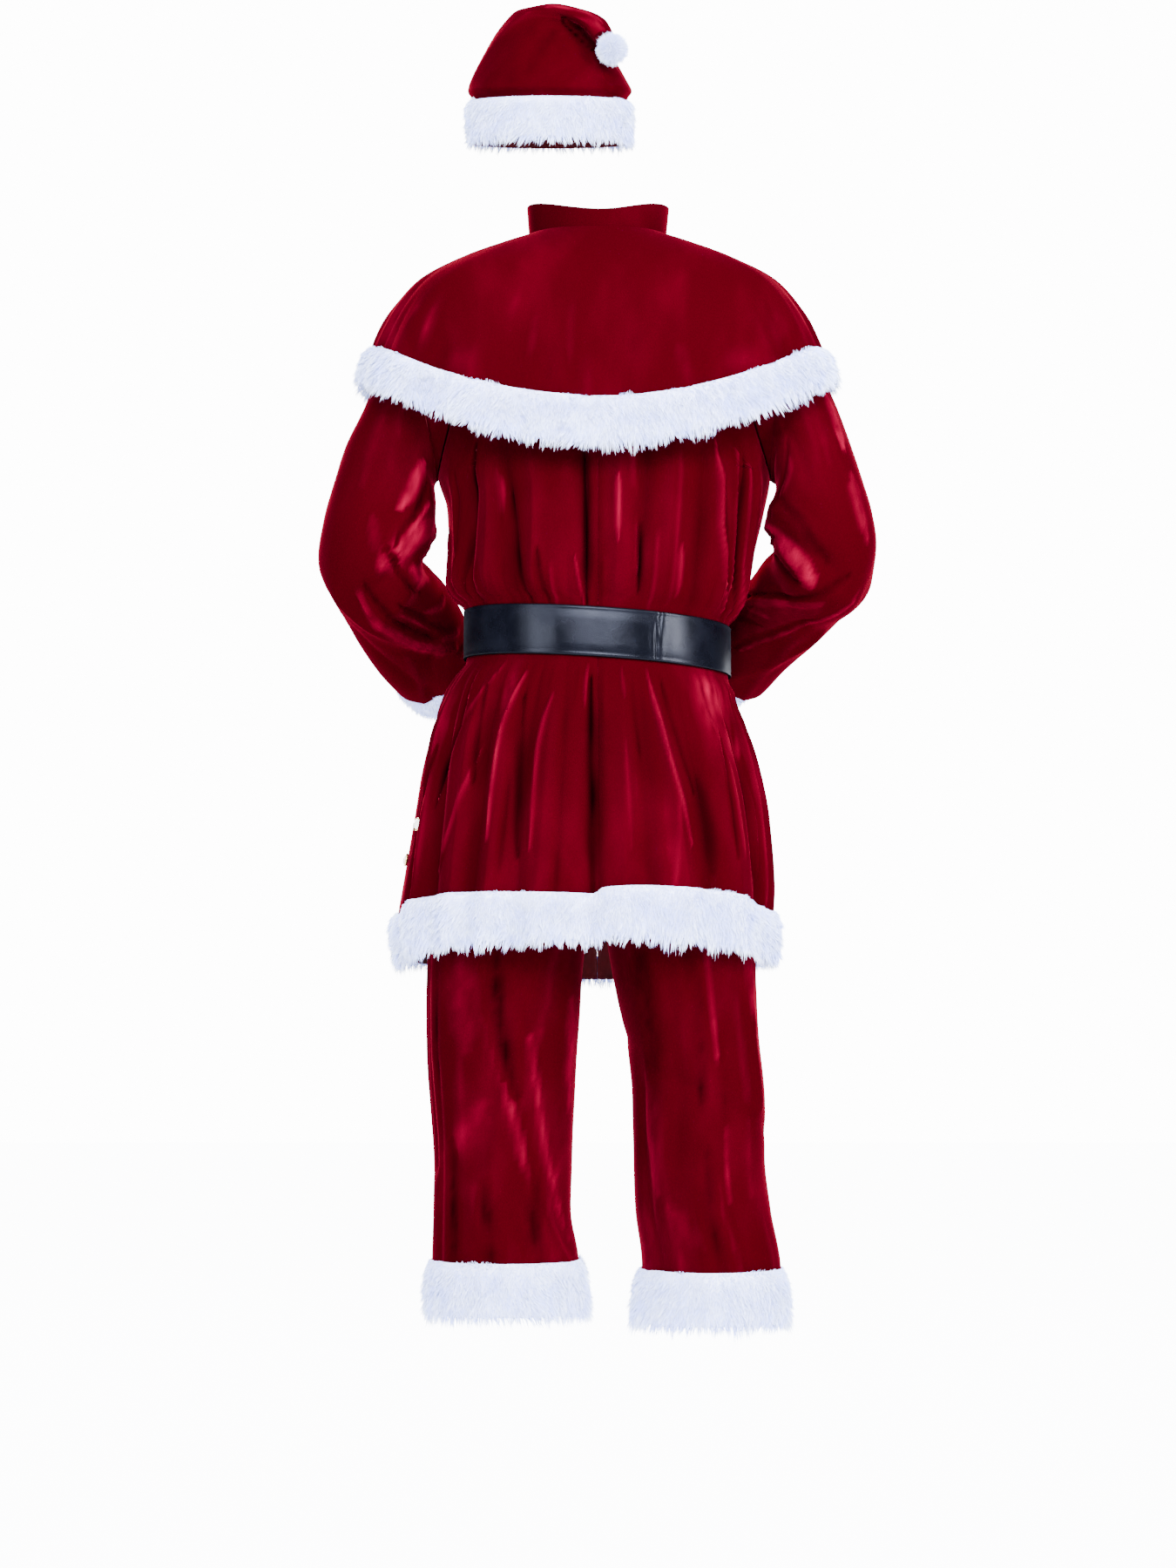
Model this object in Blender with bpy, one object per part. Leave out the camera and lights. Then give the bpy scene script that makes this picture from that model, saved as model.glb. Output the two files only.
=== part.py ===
"""Santa suit, worn and hollow: hat, shoulder cape, belted coat and trousers in velvet with fur trim.

Metres, +Z up. The front faces -Y and the wearer's left is +X. Heights in the tables are above the floor
that the wearer stands on; the origin is at the base of the neck, where the shoulders carry the coat.
A turn is an angle round the body in degrees: 0 at the centre back, 90 at the wearer's left side, 180 in front.
"""

import math

import bpy
import numpy as np
from mathutils import Vector

HELD_HEIGHT = 1.500  # base of the neck above the floor

CLOTH = 0.002  # velvet with its backing
SEAM = 0.0004  # between pieces that are sewn together
FUR_SEAT = 0.0010  # between a fur strip's backing and the cloth under it
FUR_THICK = 0.015  # height of the pile on the hems

BACK_COLUMNS = 18  # cells across each of the coat's back panels
FRONT_COLUMNS = 11

ARMHOLE_HEIGHT = 1.365
ARMHOLE_TALL = 0.108  # half its height
ARMHOLE_DEEP = 0.075  # half its depth from front to back
SLEEVE_SIDES = 14

HEM_EDGE = 0.690  # where the velvet of the coat ends at the side seam
HEM_FUR_TOP = 0.752
HEM_FUR_LOW = 0.676
NECK_EDGE = 1.540
NECK_EASE = 0.0009  # between the collar and the cape's neck edge

BELT_WIDTH = 0.058
BELT_THICK = 0.003
BELT_MIDDLE = 1.060
BELT_TILT = 0.066  # rise of the waist towards the wearer's left, per metre
BELT_EASE = 0.0017  # between the coat and the belt

BUCKLE_WIDE = 0.082
BUCKLE_TALL = 0.076
BUCKLE_BAR = 0.009
BUCKLE_THICK = 0.0035
PRONG_WIDE = 0.0045
PRONG_THICK = 0.0026

BUTTON_RADIUS = 0.0078
POMPOM_RADIUS = 0.0205

# Sections of the coat, from the hem up to the neck.
COAT_COLUMNS = ("height", "left", "right", "back", "front", "back_rise", "front_rise", "tilt", "square")
COAT_SECTIONS = [
    (0.660, 0.2210, 0.1975, 0.1650, 0.1830, 0.018, -0.020, 0.000, 2.2),
    (0.690, 0.2275, 0.2000, 0.1660, 0.1840, 0.018, -0.020, 0.000, 2.2),
    (0.735, 0.2320, 0.2025, 0.1640, 0.1810, 0.015, -0.018, 0.000, 2.2),
    (0.770, 0.2270, 0.2040, 0.1620, 0.1780, 0.014, -0.016, 0.000, 2.2),
    (0.850, 0.2140, 0.1985, 0.1540, 0.1690, 0.009, -0.010, 0.000, 2.2),
    (0.940, 0.1985, 0.1800, 0.1430, 0.1560, 0.003, -0.003, 0.020, 2.2),
    (0.990, 0.1800, 0.1655, 0.1310, 0.1430, 0.000, 0.000, 0.050, 2.15),
    (1.014, 0.1640, 0.1600, 0.1230, 0.1345, 0.000, 0.000, BELT_TILT, 2.15),
    (1.030, 0.1535, 0.1525, 0.1160, 0.1280, 0.000, 0.000, BELT_TILT, 2.15),
    (1.060, 0.1535, 0.1525, 0.1160, 0.1280, 0.000, 0.000, BELT_TILT, 2.15),
    (1.090, 0.1535, 0.1525, 0.1160, 0.1280, 0.000, 0.000, BELT_TILT, 2.15),
    (1.104, 0.1715, 0.1640, 0.1235, 0.1350, 0.000, 0.000, BELT_TILT, 2.15),
    (1.125, 0.1790, 0.1745, 0.1300, 0.1400, 0.000, 0.000, 0.045, 2.15),
    (1.170, 0.1767, 0.1855, 0.1345, 0.1440, 0.000, 0.000, 0.010, 2.2),
    (1.220, 0.1785, 0.1975, 0.1360, 0.1440, 0.000, 0.000, 0.000, 2.2),
    (1.257, 0.1890, 0.2040, 0.1350, 0.1420, 0.000, 0.000, 0.000, 2.2),
    (1.320, 0.1935, 0.2045, 0.1310, 0.1360, 0.000, 0.000, 0.000, 2.2),
    (1.390, 0.1960, 0.2010, 0.1230, 0.1240, 0.000, 0.000, 0.000, 2.2),
    (1.440, 0.1960, 0.1980, 0.1120, 0.1090, 0.000, 0.000, 0.000, 2.2),
    (1.473, 0.1880, 0.1890, 0.1010, 0.0940, 0.000, 0.000, 0.000, 2.2),
    (1.492, 0.1600, 0.1610, 0.0920, 0.0830, 0.000, 0.000, 0.000, 2.15),
    (1.512, 0.1220, 0.1220, 0.0820, 0.0730, 0.000, 0.000, 0.000, 2.1),
    (1.528, 0.0900, 0.0900, 0.0740, 0.0660, 0.000, 0.000, 0.000, 2.05),
    (1.560, 0.0700, 0.0700, 0.0660, 0.0600, 0.000, 0.000, 0.000, 2.0),
]

# Heights of the rows of points below the armholes and above them, all on the velvet.
COAT_ROWS_BELOW = [HEM_EDGE, HEM_FUR_TOP, 0.810, 0.870, 0.930, 0.980, 1.014, 1.030, 1.090, 1.106, 1.134,
                   1.174, 1.215]
COAT_ROWS_ABOVE = [1.490, 1.512, NECK_EDGE]

# Folds that hang from the gathers under the belt and blouse over it. Ridges stand out, troughs are negative.
FOLD_COLUMNS = ("turn_top", "turn_low", "top", "low", "rise", "spread")
COAT_FOLDS = [
    # back of the skirt, from the wearer's left to the right
    (84, 70, 1.000, 0.560, -0.0150, 6.5),
    (72, 58, 1.020, 0.640, 0.0065, 4.5),
    (60, 50, 1.020, 0.640, -0.0060, 3.5),
    (47, 43, 1.020, 0.560, 0.0060, 4.0),
    (38, 36, 1.020, 0.700, -0.0045, 3.5),
    (31, 29, 1.020, 0.560, 0.0055, 4.0),
    (22, 21, 1.020, 0.560, -0.0050, 4.0),
    (13, 12, 1.020, 0.600, 0.0045, 4.0),
    (1, 1, 1.020, 0.560, -0.0085, 3.8),
    (-8, -8, 1.020, 0.560, 0.0055, 4.5),
    (-17, -18, 1.020, 0.700, -0.0035, 4.0),
    (-24, -32, 1.020, 0.700, 0.0060, 3.5),
    (-38, -42, 1.020, 0.560, -0.0040, 4.5),
    (-50, -52, 1.020, 0.560, 0.0065, 5.5),
    (-64, -62, 1.020, 0.560, -0.0055, 4.5),
    (-77, -75, 1.020, 0.560, 0.0055, 5.0),
    # back of the body, above the belt
    (64, 60, 1.265, 1.080, 0.0060, 4.5),
    (53, 57, 1.265, 1.080, -0.0075, 4.0),
    (42, 45, 1.265, 1.080, 0.0060, 4.0),
    (31, 28, 1.320, 1.080, -0.0040, 3.5),
    (22, 25, 1.300, 1.080, 0.0045, 3.5),
    (6, 4, 1.400, 1.080, -0.0065, 3.5),
    (-7, -8, 1.320, 1.080, 0.0055, 3.5),
    (-15, -17, 1.340, 1.080, -0.0040, 3.5),
    (-24, -24, 1.300, 1.080, 0.0045, 4.0),
    (-36, -40, 1.320, 1.080, -0.0050, 4.0),
    (-45, -55, 1.265, 1.080, 0.0065, 3.5),
    (-54, -64, 1.265, 1.080, -0.0055, 3.5),
    (-64, -74, 1.265, 1.080, 0.0060, 4.0),
    # front of the skirt
    (104, 100, 1.000, 0.560, 0.0080, 8.0),
    (124, 118, 1.020, 0.600, -0.0070, 6.0),
    (138, 135, 1.020, 0.560, 0.0060, 6.0),
    (153, 151, 1.020, 0.640, -0.0050, 6.0),
    (-104, -100, 1.020, 0.560, -0.0060, 6.5),
    (-120, -118, 1.020, 0.600, 0.0065, 6.5),
    (-138, -136, 1.020, 0.560, -0.0060, 6.0),
    (-152, -151, 1.020, 0.640, 0.0050, 6.0),
    # front of the body
    (113, 116, 1.265, 1.080, -0.0055, 6.0),
    (130, 132, 1.265, 1.080, 0.0060, 6.0),
    (148, 147, 1.330, 1.080, -0.0050, 6.0),
    (-110, -114, 1.265, 1.080, 0.0050, 6.0),
    (-127, -130, 1.265, 1.080, -0.0055, 6.0),
    (-146, -146, 1.330, 1.080, 0.0055, 6.0),
]

# Sections across each sleeve, from the armhole to the cuff seam; the first is replaced by the armhole itself.
SLEEVE_COLUMNS = ("outer_x", "outer_height", "inner_x", "inner_height", "y", "deep")
SLEEVE_SECTIONS = {
    "left": [
        (0.1960, 1.473, 0.1905, 1.257, 0.000, 0.0750),
        (0.2260, 1.446, 0.1925, 1.2530, 0.000, 0.0740),
        (0.2540, 1.395, 0.1930, 1.2460, 0.003, 0.0710),
        (0.2755, 1.345, 0.1920, 1.2330, 0.006, 0.0690),
        (0.2975, 1.296, 0.1910, 1.2130, 0.012, 0.0670),
        (0.3120, 1.247, 0.1912, 1.1920, 0.018, 0.0660),
        (0.3240, 1.199, 0.1950, 1.1740, 0.020, 0.0660),
        (0.3295, 1.162, 0.2050, 1.1620, 0.010, 0.0660),
        (0.3180, 1.126, 0.2065, 1.1600, -0.016, 0.0640),
        (0.2985, 1.090, 0.1985, 1.1570, -0.054, 0.0610),
        (0.2800, 1.061, 0.1885, 1.1500, -0.094, 0.0600),
        (0.2600, 1.036, 0.1750, 1.1300, -0.135, 0.0570),
        (0.2440, 1.021, 0.1600, 1.1020, -0.175, 0.0535),
        (0.2220, 1.004, 0.1430, 1.0740, -0.225, 0.0500),
    ],
    "right": [
        (0.1970, 1.473, 0.2055, 1.257, 0.000, 0.0750),
        (0.2290, 1.446, 0.2068, 1.2550, 0.001, 0.0740),
        (0.2590, 1.395, 0.2135, 1.2475, 0.006, 0.0720),
        (0.2805, 1.349, 0.2125, 1.2350, 0.012, 0.0710),
        (0.2980, 1.300, 0.2060, 1.2190, 0.018, 0.0700),
        (0.3115, 1.254, 0.1962, 1.2010, 0.023, 0.0690),
        (0.3220, 1.213, 0.2015, 1.1830, 0.025, 0.0680),
        (0.3280, 1.175, 0.2068, 1.1740, 0.018, 0.0670),
        (0.3240, 1.133, 0.2080, 1.1710, -0.006, 0.0650),
        (0.2975, 1.102, 0.2000, 1.1680, -0.045, 0.0620),
        (0.2670, 1.076, 0.1880, 1.1550, -0.090, 0.0580),
        (0.2310, 1.048, 0.1650, 1.1310, -0.135, 0.0550),
        (0.2020, 1.028, 0.1410, 1.1060, -0.175, 0.0520),
        (0.1700, 1.006, 0.1130, 1.0820, -0.225, 0.0490),
    ],
}
SLEEVE_END = 12.0  # the section that carries the cuff's seam
CROOK_AT = 7.0  # the section in the crook of the elbow
CROOK_TUCK = 0.56  # share of the front half's depth that is lost there
CROOK_REACH = 2.2  # in sections, up and down the arm
SLEEVE_ROWS = [0.0, 0.45, 0.9] + [SLEEVE_END * i / 15 for i in range(2, 16)]
CUFF_FUR_TOP = 11.85
CUFF_FUR_LOW = 13.20

# Creases drawn across the sleeves: section and angle where each starts and ends. 0 degrees is outwards, 90 behind.
CREASE_COLUMNS = ("along_start", "angle_start", "along_end", "angle_end", "rise", "spread")
SLEEVE_CREASES = {
    "left": [
        (4.0, 150, 6.8, 95, 0.0050, 0.013),
        (6.2, 160, 7.4, 70, -0.0060, 0.014),
        (7.2, 150, 8.4, 60, 0.0055, 0.013),
        (7.6, 40, 11.2, 110, 0.0050, 0.014),
        (9.0, 20, 12.0, 60, -0.0040, 0.014),
    ],
    "right": [
        (4.2, 160, 6.4, 105, 0.0045, 0.013),
        (6.0, 165, 7.2, 75, -0.0055, 0.014),
        (7.0, 160, 7.8, 40, 0.0055, 0.013),
        (8.2, 130, 9.4, 10, -0.0050, 0.014),
        (9.6, 20, 12.0, 80, 0.0045, 0.014),
    ],
}

# Rings of the cape from the neck down; heights where each ring crosses the side, the back and the front.
CAPE_COLUMNS = ("along", "wide", "back", "front", "side_height", "back_height", "front_height", "square")
CAPE_SECTIONS = [
    (0.00, 0.0860, 0.0750, 0.0680, 1.5490, 1.5450, 1.5430, 2.05),
    (0.12, 0.1220, 0.0960, 0.0870, 1.5370, 1.5220, 1.5160, 2.1),
    (0.26, 0.1680, 0.1190, 0.1080, 1.5190, 1.4960, 1.4880, 2.2),
    (0.40, 0.2110, 0.1390, 0.1290, 1.4960, 1.4600, 1.4520, 2.25),
    (0.53, 0.2360, 0.1520, 0.1440, 1.4700, 1.4200, 1.4130, 2.3),
    (0.66, 0.2530, 0.1610, 0.1560, 1.4430, 1.3750, 1.3700, 2.3),
    (0.80, 0.2660, 0.1660, 0.1620, 1.4150, 1.3240, 1.3220, 2.3),
    (0.92, 0.2740, 0.1710, 0.1670, 1.3880, 1.2850, 1.2850, 2.3),
    (1.05, 0.2815, 0.1750, 0.1710, 1.3570, 1.2450, 1.2450, 2.3),
]
CAPE_ROWS = [0.0, 0.12, 0.26, 0.40, 0.53, 0.66, 0.80, 0.96]
CAPE_FUR_TOP = 0.80
CAPE_FUR_LOW = 1.03
CAPE_SIDES = 36
CAPE_OPENING = 1.2  # degrees each side of the centre front
CAPE_FOLDS = [
    (66, 74, 1.560, 1.250, -0.0050, 6.0),
    (50, 56, 1.560, 1.250, 0.0045, 7.0),
    (20, 22, 1.560, 1.250, -0.0030, 8.0),
    (-12, -14, 1.560, 1.250, 0.0030, 8.0),
    (-36, -38, 1.560, 1.250, -0.0035, 7.0),
    (-58, -62, 1.560, 1.250, 0.0045, 6.0),
    (-72, -80, 1.560, 1.250, -0.0045, 6.0),
    (120, 122, 1.560, 1.250, 0.0050, 8.0),
    (146, 146, 1.560, 1.250, -0.0040, 8.0),
    (-118, -120, 1.560, 1.250, -0.0045, 8.0),
    (-144, -145, 1.560, 1.250, 0.0045, 8.0),
]

COLLAR_TALL = 0.045
COLLAR_LEAN = 0.004  # how far the collar's top edge stands out from its foot

# Each leg: centre line, half width and half depths; above the crotch the ring is cut at the centre seam.
LEG_COLUMNS = ("height", "centre", "wide", "back", "front", "y")
LEG_SECTIONS = {
    "left": [
        (0.240, 0.1050, 0.0880, 0.0900, 0.0880, 0.010),
        (0.270, 0.1055, 0.0870, 0.0890, 0.0870, 0.010),
        (0.345, 0.1070, 0.0850, 0.0870, 0.0860, 0.008),
        (0.400, 0.1110, 0.0800, 0.0840, 0.0850, 0.004),
        (0.463, 0.1105, 0.0810, 0.0830, 0.0850, 0.000),
        (0.556, 0.1120, 0.0865, 0.0880, 0.0880, 0.000),
        (0.634, 0.1105, 0.0900, 0.0980, 0.0940, 0.004),
        (0.700, 0.1070, 0.0920, 0.1080, 0.0990, 0.010),
        (0.765, 0.0975, 0.0970, 0.1160, 0.1040, 0.012),
        (0.800, 0.0780, 0.1130, 0.1190, 0.1090, 0.012),
        (0.850, 0.0350, 0.1500, 0.1220, 0.1160, 0.010),
        (0.910, 0.0000, 0.1740, 0.1220, 0.1220, 0.004),
        (0.970, 0.0000, 0.1600, 0.1160, 0.1220, 0.000),
        (1.040, 0.0000, 0.1400, 0.1060, 0.1160, 0.000),
    ],
    "right": [
        (0.230, 0.1300, 0.0850, 0.0890, 0.0870, 0.014),
        (0.260, 0.1300, 0.0840, 0.0880, 0.0860, 0.014),
        (0.335, 0.1310, 0.0805, 0.0860, 0.0850, 0.010),
        (0.400, 0.1222, 0.0790, 0.0840, 0.0850, 0.004),
        (0.463, 0.1178, 0.0765, 0.0830, 0.0850, 0.000),
        (0.524, 0.1175, 0.0775, 0.0860, 0.0870, 0.000),
        (0.587, 0.1118, 0.0778, 0.0930, 0.0910, 0.002),
        (0.640, 0.1045, 0.0815, 0.0990, 0.0950, 0.005),
        (0.700, 0.0980, 0.0860, 0.1080, 0.0990, 0.010),
        (0.765, 0.0935, 0.0930, 0.1160, 0.1040, 0.012),
        (0.800, 0.0740, 0.1080, 0.1190, 0.1090, 0.012),
        (0.850, 0.0350, 0.1400, 0.1220, 0.1160, 0.010),
        (0.910, 0.0000, 0.1620, 0.1220, 0.1220, 0.004),
        (0.970, 0.0000, 0.1540, 0.1160, 0.1220, 0.000),
        (1.040, 0.0000, 0.1390, 0.1060, 0.1160, 0.000),
    ],
}
LEG_ROWS = {
    "left": [0.288, 0.345, 0.415, 0.490, 0.570, 0.650, 0.725, 0.770, 0.800, 0.840, 0.900, 1.035],
    "right": [0.278, 0.335, 0.410, 0.490, 0.570, 0.650, 0.725, 0.770, 0.800, 0.840, 0.900, 1.035],
}
LEG_FUR_TOP = {"left": 0.345, "right": 0.335}
LEG_FUR_LOW = {"left": 0.267, "right": 0.257}
LEG_SIDES = 9  # columns on each of a leg's four panels
# Creases on the legs: heights and angles round the leg. 0 is the centre back of the leg, 90 its outer side.
LEG_CREASES = {
    "left": [
        (0.760, -35, 0.420, 10, 0.0050, 0.016),
        (0.700, -10, 0.360, -60, -0.0040, 0.014),
        (0.560, 62, 0.300, 62, -0.0050, 0.012),
        (0.440, -20, 0.300, -70, 0.0050, 0.014),
        (0.760, 80, 0.450, 76, -0.0060, 0.012),
    ],
    "right": [
        (0.760, -25, 0.400, -40, 0.0045, 0.016),
        (0.700, 20, 0.340, 30, -0.0040, 0.016),
        (0.760, 55, 0.520, 62, 0.0050, 0.012),
        (0.560, -60, 0.300, -50, -0.0050, 0.015),
        (0.480, 5, 0.300, -8, 0.0040, 0.016),
    ],
}
WAISTBAND_LOW = 1.037
WAISTBAND_TOP = 1.078
WAISTBAND_THICK = 0.003
WAISTBAND_SINK = CLOTH + 0.0013  # from the coat's outer face to the waistband

# The hat folds over in one upright plane. Its sections run from the band to the tip: along is the distance
# in that plane from the hat's axis, on the far side (outer) and on the side that it falls towards (inner).
HAT_CENTRE = Vector((0.0573, 0.0, 0.0))
HAT_FALLS = Vector((-0.70, 0.714, 0.0)).normalized()
HAT_TIP_COLUMNS = ("outer", "outer_height", "inner", "inner_height", "across")
HAT_SECTIONS = [
    (-0.0915, 1.6640, 0.0915, 1.6640, 0.0915),
    (-0.0925, 1.6950, 0.0925, 1.6950, 0.0925),
    (-0.0930, 1.7180, 0.0930, 1.7180, 0.0930),
    (-0.0985, 1.7290, 0.0985, 1.7290, 0.0985),
    (-0.0940, 1.7430, 0.0930, 1.7410, 0.0940),
    (-0.0830, 1.7670, 0.0815, 1.7600, 0.0830),
    (-0.0700, 1.7920, 0.0700, 1.7770, 0.0710),
    (-0.0530, 1.8130, 0.0600, 1.7890, 0.0600),
    (-0.0230, 1.8280, 0.0540, 1.7960, 0.0520),
    (0.0200, 1.8285, 0.0560, 1.7980, 0.0390),
    (0.0560, 1.8170, 0.0650, 1.7930, 0.0270),
    (0.0820, 1.8040, 0.0770, 1.7830, 0.0210),
    (0.0990, 1.7850, 0.0880, 1.7740, 0.0165),
]
HAT_SIDES = 20
HAT_LEAN = 0.25  # the band sits lower behind: fall per metre from front to back
HAT_FUR_LOW = -0.14
HAT_FUR_THICK = 0.0125

FRONT_FUR_THICK = 0.011

COLOURS = {
    "velvet": (0.30, 0.004, 0.020, 1.0),
    "fur": (0.86, 0.87, 0.90, 1.0),
    "leather": (0.012, 0.012, 0.015, 1.0),
    "metal": (0.85, 0.66, 0.30, 1.0),
    "pearl": (0.90, 0.86, 0.76, 1.0),
}
ROUGHNESS = {"velvet": 0.75, "fur": 0.9, "leather": 0.35, "metal": 0.25, "pearl": 0.25}


# ---------------------------------------------------------------- small tools

def world(x, y, height):
    return Vector((x, y, height - HELD_HEIGHT))


def ease(t):
    t = min(1.0, max(0.0, t))
    return t * t * (3 - 2 * t)


class Table:
    """Rows of sizes read as smooth curves of their first column, with no overshoot between rows."""

    def __init__(self, columns, rows, key=None):
        self.columns = columns
        self.keys = np.array([r[0] for r in rows] if key is None else key, float)
        self.values = np.array(rows, float)
        steps = np.diff(self.keys)[:, None]
        secants = np.diff(self.values, axis=0) / steps
        self.slopes = np.zeros_like(self.values)
        self.slopes[0], self.slopes[-1] = secants[0], secants[-1]
        before, after = secants[:-1], secants[1:]
        same_way = before * after > 0
        total = np.where(same_way, before + after, 1.0)
        self.slopes[1:-1] = np.where(same_way, 2 * before * after / total, 0.0)

    def at(self, key):
        i = int(np.clip(np.searchsorted(self.keys, key) - 1, 0, len(self.keys) - 2))
        span = self.keys[i + 1] - self.keys[i]
        t = (key - self.keys[i]) / span
        if t < 0 or t > 1:  # straight on past either end
            end = 0 if t < 0 else -1
            row = self.values[end] + self.slopes[end] * (key - self.keys[end])
        else:
            h00, h10 = 2 * t**3 - 3 * t**2 + 1, t**3 - 2 * t**2 + t
            h01, h11 = -2 * t**3 + 3 * t**2, t**3 - t**2
            row = (h00 * self.values[i] + h10 * span * self.slopes[i]
                   + h01 * self.values[i + 1] + h11 * span * self.slopes[i + 1])
        return dict(zip(self.columns, row))


def oval(turn, left, right, back, front, square):
    """A point on a rounded ring and the ring's outward direction there."""
    s, c = math.sin(math.radians(turn)), math.cos(math.radians(turn))
    wide = left if s >= 0 else right
    deep = back if c >= 0 else front
    k = (abs(s) ** square + abs(c) ** square) ** (-1 / square)
    x, y = wide * s * k, deep * c * k
    return x, y, Vector((x / wide**2, y / deep**2, 0)).normalized()


def fold_rise(folds, turn, height):
    """How far the folds push the cloth out at this turn and height."""
    rise = 0.0
    for turn_top, turn_low, top, low, ridge, spread in folds:
        if not low < height < top:
            continue
        t = (top - height) / (top - low)
        away = (turn - (turn_top + (turn_low - turn_top) * t) + 180) % 360 - 180
        if abs(away) < 3 * spread:
            rise += ridge * ease(t / 0.22) * ease((1 - t) / 0.18) * math.exp(-((away / spread) ** 2))
    return rise


def crease_rise(creases, along, angle, along_scale, angle_scale):
    """How far the creases push the cloth out; scales turn the two coordinates into metres."""
    rise = 0.0
    for along_start, angle_start, along_end, angle_end, ridge, spread in creases:
        a = np.array((along_start * along_scale, angle_start * angle_scale))
        b = np.array((along_end * along_scale, angle_end * angle_scale))
        p = np.array((along * along_scale, angle * angle_scale))
        t = float((p - a) @ (b - a) / ((b - a) @ (b - a)))
        off = p - (a + (b - a) * min(1.0, max(0.0, t)))
        rise += ridge * math.exp(-float(off @ off) / spread**2) * ease(1.25 - abs(t - 0.5))
    return rise


def normal_of(surface, u, v, du, dv):
    """The outward normal of surface(u, v), where u runs anticlockwise from above and v upwards."""
    across = surface(u + du, v) - surface(u - du, v)
    up = surface(u, v + dv) - surface(u, v - dv)
    return across.cross(up).normalized()


# ---------------------------------------------------------------- making solids

def add_solid(name, points, faces, material, smooth=True):
    mesh = bpy.data.meshes.new(name)
    mesh.from_pydata([tuple(p) for p in points], [], faces)
    mesh.materials.append(MATERIALS[material])
    if smooth:
        mesh.shade_smooth()
        mesh.set_sharp_from_angle(angle=math.radians(50))
    solid = bpy.data.objects.new(name, mesh)
    bpy.context.scene.collection.objects.link(solid)
    return solid


def sheet_faces(rows, columns, start, closed, flip):
    """Two triangles to each cell of a grid of points, always cut along the same diagonal."""
    faces = []
    last = columns if closed else columns - 1
    for r in range(rows - 1):
        for c in range(last):
            a, b = start + r * columns + c, start + r * columns + (c + 1) % columns
            d, e = a + columns, b + columns
            pair = [(a, b, e), (a, e, d)]
            faces += [f[::-1] for f in pair] if flip else pair
    return faces


def cloth_wall(name, outer, inner, material, closed=False, cap=False):
    """A wall of cloth between two grids of points, its edges closed all round. Rows run upwards and
    columns anticlockwise from above. With cap, the last row is closed to a point."""
    rows, columns = len(outer), len(outer[0])
    points = [p for row in outer for p in row] + [p for row in inner for p in row]
    second = rows * columns
    faces = sheet_faces(rows, columns, 0, closed, False) + sheet_faces(rows, columns, second, closed, True)
    loop_low = [c for c in range(columns)]
    loop_top = [(rows - 1) * columns + c for c in range(columns)]
    if closed:
        edges = [(loop_low, True)]
        if cap:
            for start, loop, flip in ((0, loop_top, False), (second, [second + i for i in loop_top], True)):
                centre = len(points)
                points.append(sum((points[i] for i in loop), Vector()) / columns)
                for c in range(columns):
                    fan = (loop[c], loop[(c + 1) % columns], centre)
                    faces.append(fan[::-1] if flip else fan)
        else:
            edges.append((loop_top, False))
        for loop, low in edges:
            for c in range(columns):
                a, b = loop[c], loop[(c + 1) % columns]
                faces += rim(a, b, second, low)
    else:
        right = [r * columns + columns - 1 for r in range(rows)]
        left = [r * columns for r in range(rows)]
        around = loop_low + right[1:] + loop_top[::-1][1:] + left[::-1][1:-1]
        for i, a in enumerate(around):
            faces += rim(a, around[(i + 1) % len(around)], second, True)
    return add_solid(name, points, faces, material)


def rim(a, b, second, low):
    pair = [(a, a + second, b + second), (a, b + second, b)]
    return pair if low else [f[::-1] for f in pair]


def ring_solid(name, loops, material, closed):
    """A solid strip swept through a list of section loops: closed into a ring, or ended flat."""
    count, size = len(loops), len(loops[0])
    points = [p for loop in loops for p in loop]
    faces = []
    for i in range(count if closed else count - 1):
        a0, b0 = i * size, ((i + 1) % count) * size
        for j in range(size):
            k = (j + 1) % size
            faces += [(a0 + j, b0 + j, a0 + k), (a0 + k, b0 + j, b0 + k)]
    if not closed:
        faces.append(tuple(range(size)))
        faces.append(tuple((count - 1) * size + j for j in reversed(range(size))))
    return add_solid(name, points, faces, material)


def between(start, end, count):
    return [start + (end - start) * i / count for i in range(count + 1)]


# ---------------------------------------------------------------- the coat

COAT = Table(COAT_COLUMNS, COAT_SECTIONS)


def coat_ring(turn, height, folded=True):
    s = COAT.at(height)
    x, y, out = oval(turn, s["left"], s["right"], s["back"], s["front"], s["square"])
    c = math.cos(math.radians(turn))
    rise = (s["back_rise"] if c >= 0 else s["front_rise"]) * c * c
    if folded:
        out = out * fold_rise(COAT_FOLDS, turn, height)
        x, y = x + out.x, y + out.y
    return world(x, y, height + rise + s["tilt"] * x)


def coat_normal(turn, height, folded=True):
    # turns run clockwise from above, so across is reversed
    return -normal_of(lambda t, h: coat_ring(t, h, folded), turn, height, 0.8, 0.004)


def armhole_rows():
    half = SLEEVE_SIDES // 2
    return [ARMHOLE_HEIGHT - ARMHOLE_TALL * math.cos(math.pi * k / half) for k in range(half + 1)]


def armhole_limit(height, behind):
    """The turn where a panel stops at this height: the side seam, or the edge of the armhole."""
    up = (height - ARMHOLE_HEIGHT) / ARMHOLE_TALL
    s = COAT.at(height)
    deep = s["back"] if behind else s["front"]
    seam = SEAM / 2 / s["left"]
    if abs(up) >= 1:
        return 90 - math.degrees(seam)
    y = ARMHOLE_DEEP * math.sqrt(1 - up * up) + SEAM
    share = min(0.999, y / deep)
    return math.degrees(math.atan2((1 - share ** s["square"]) ** (1 / s["square"]), share))


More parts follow.
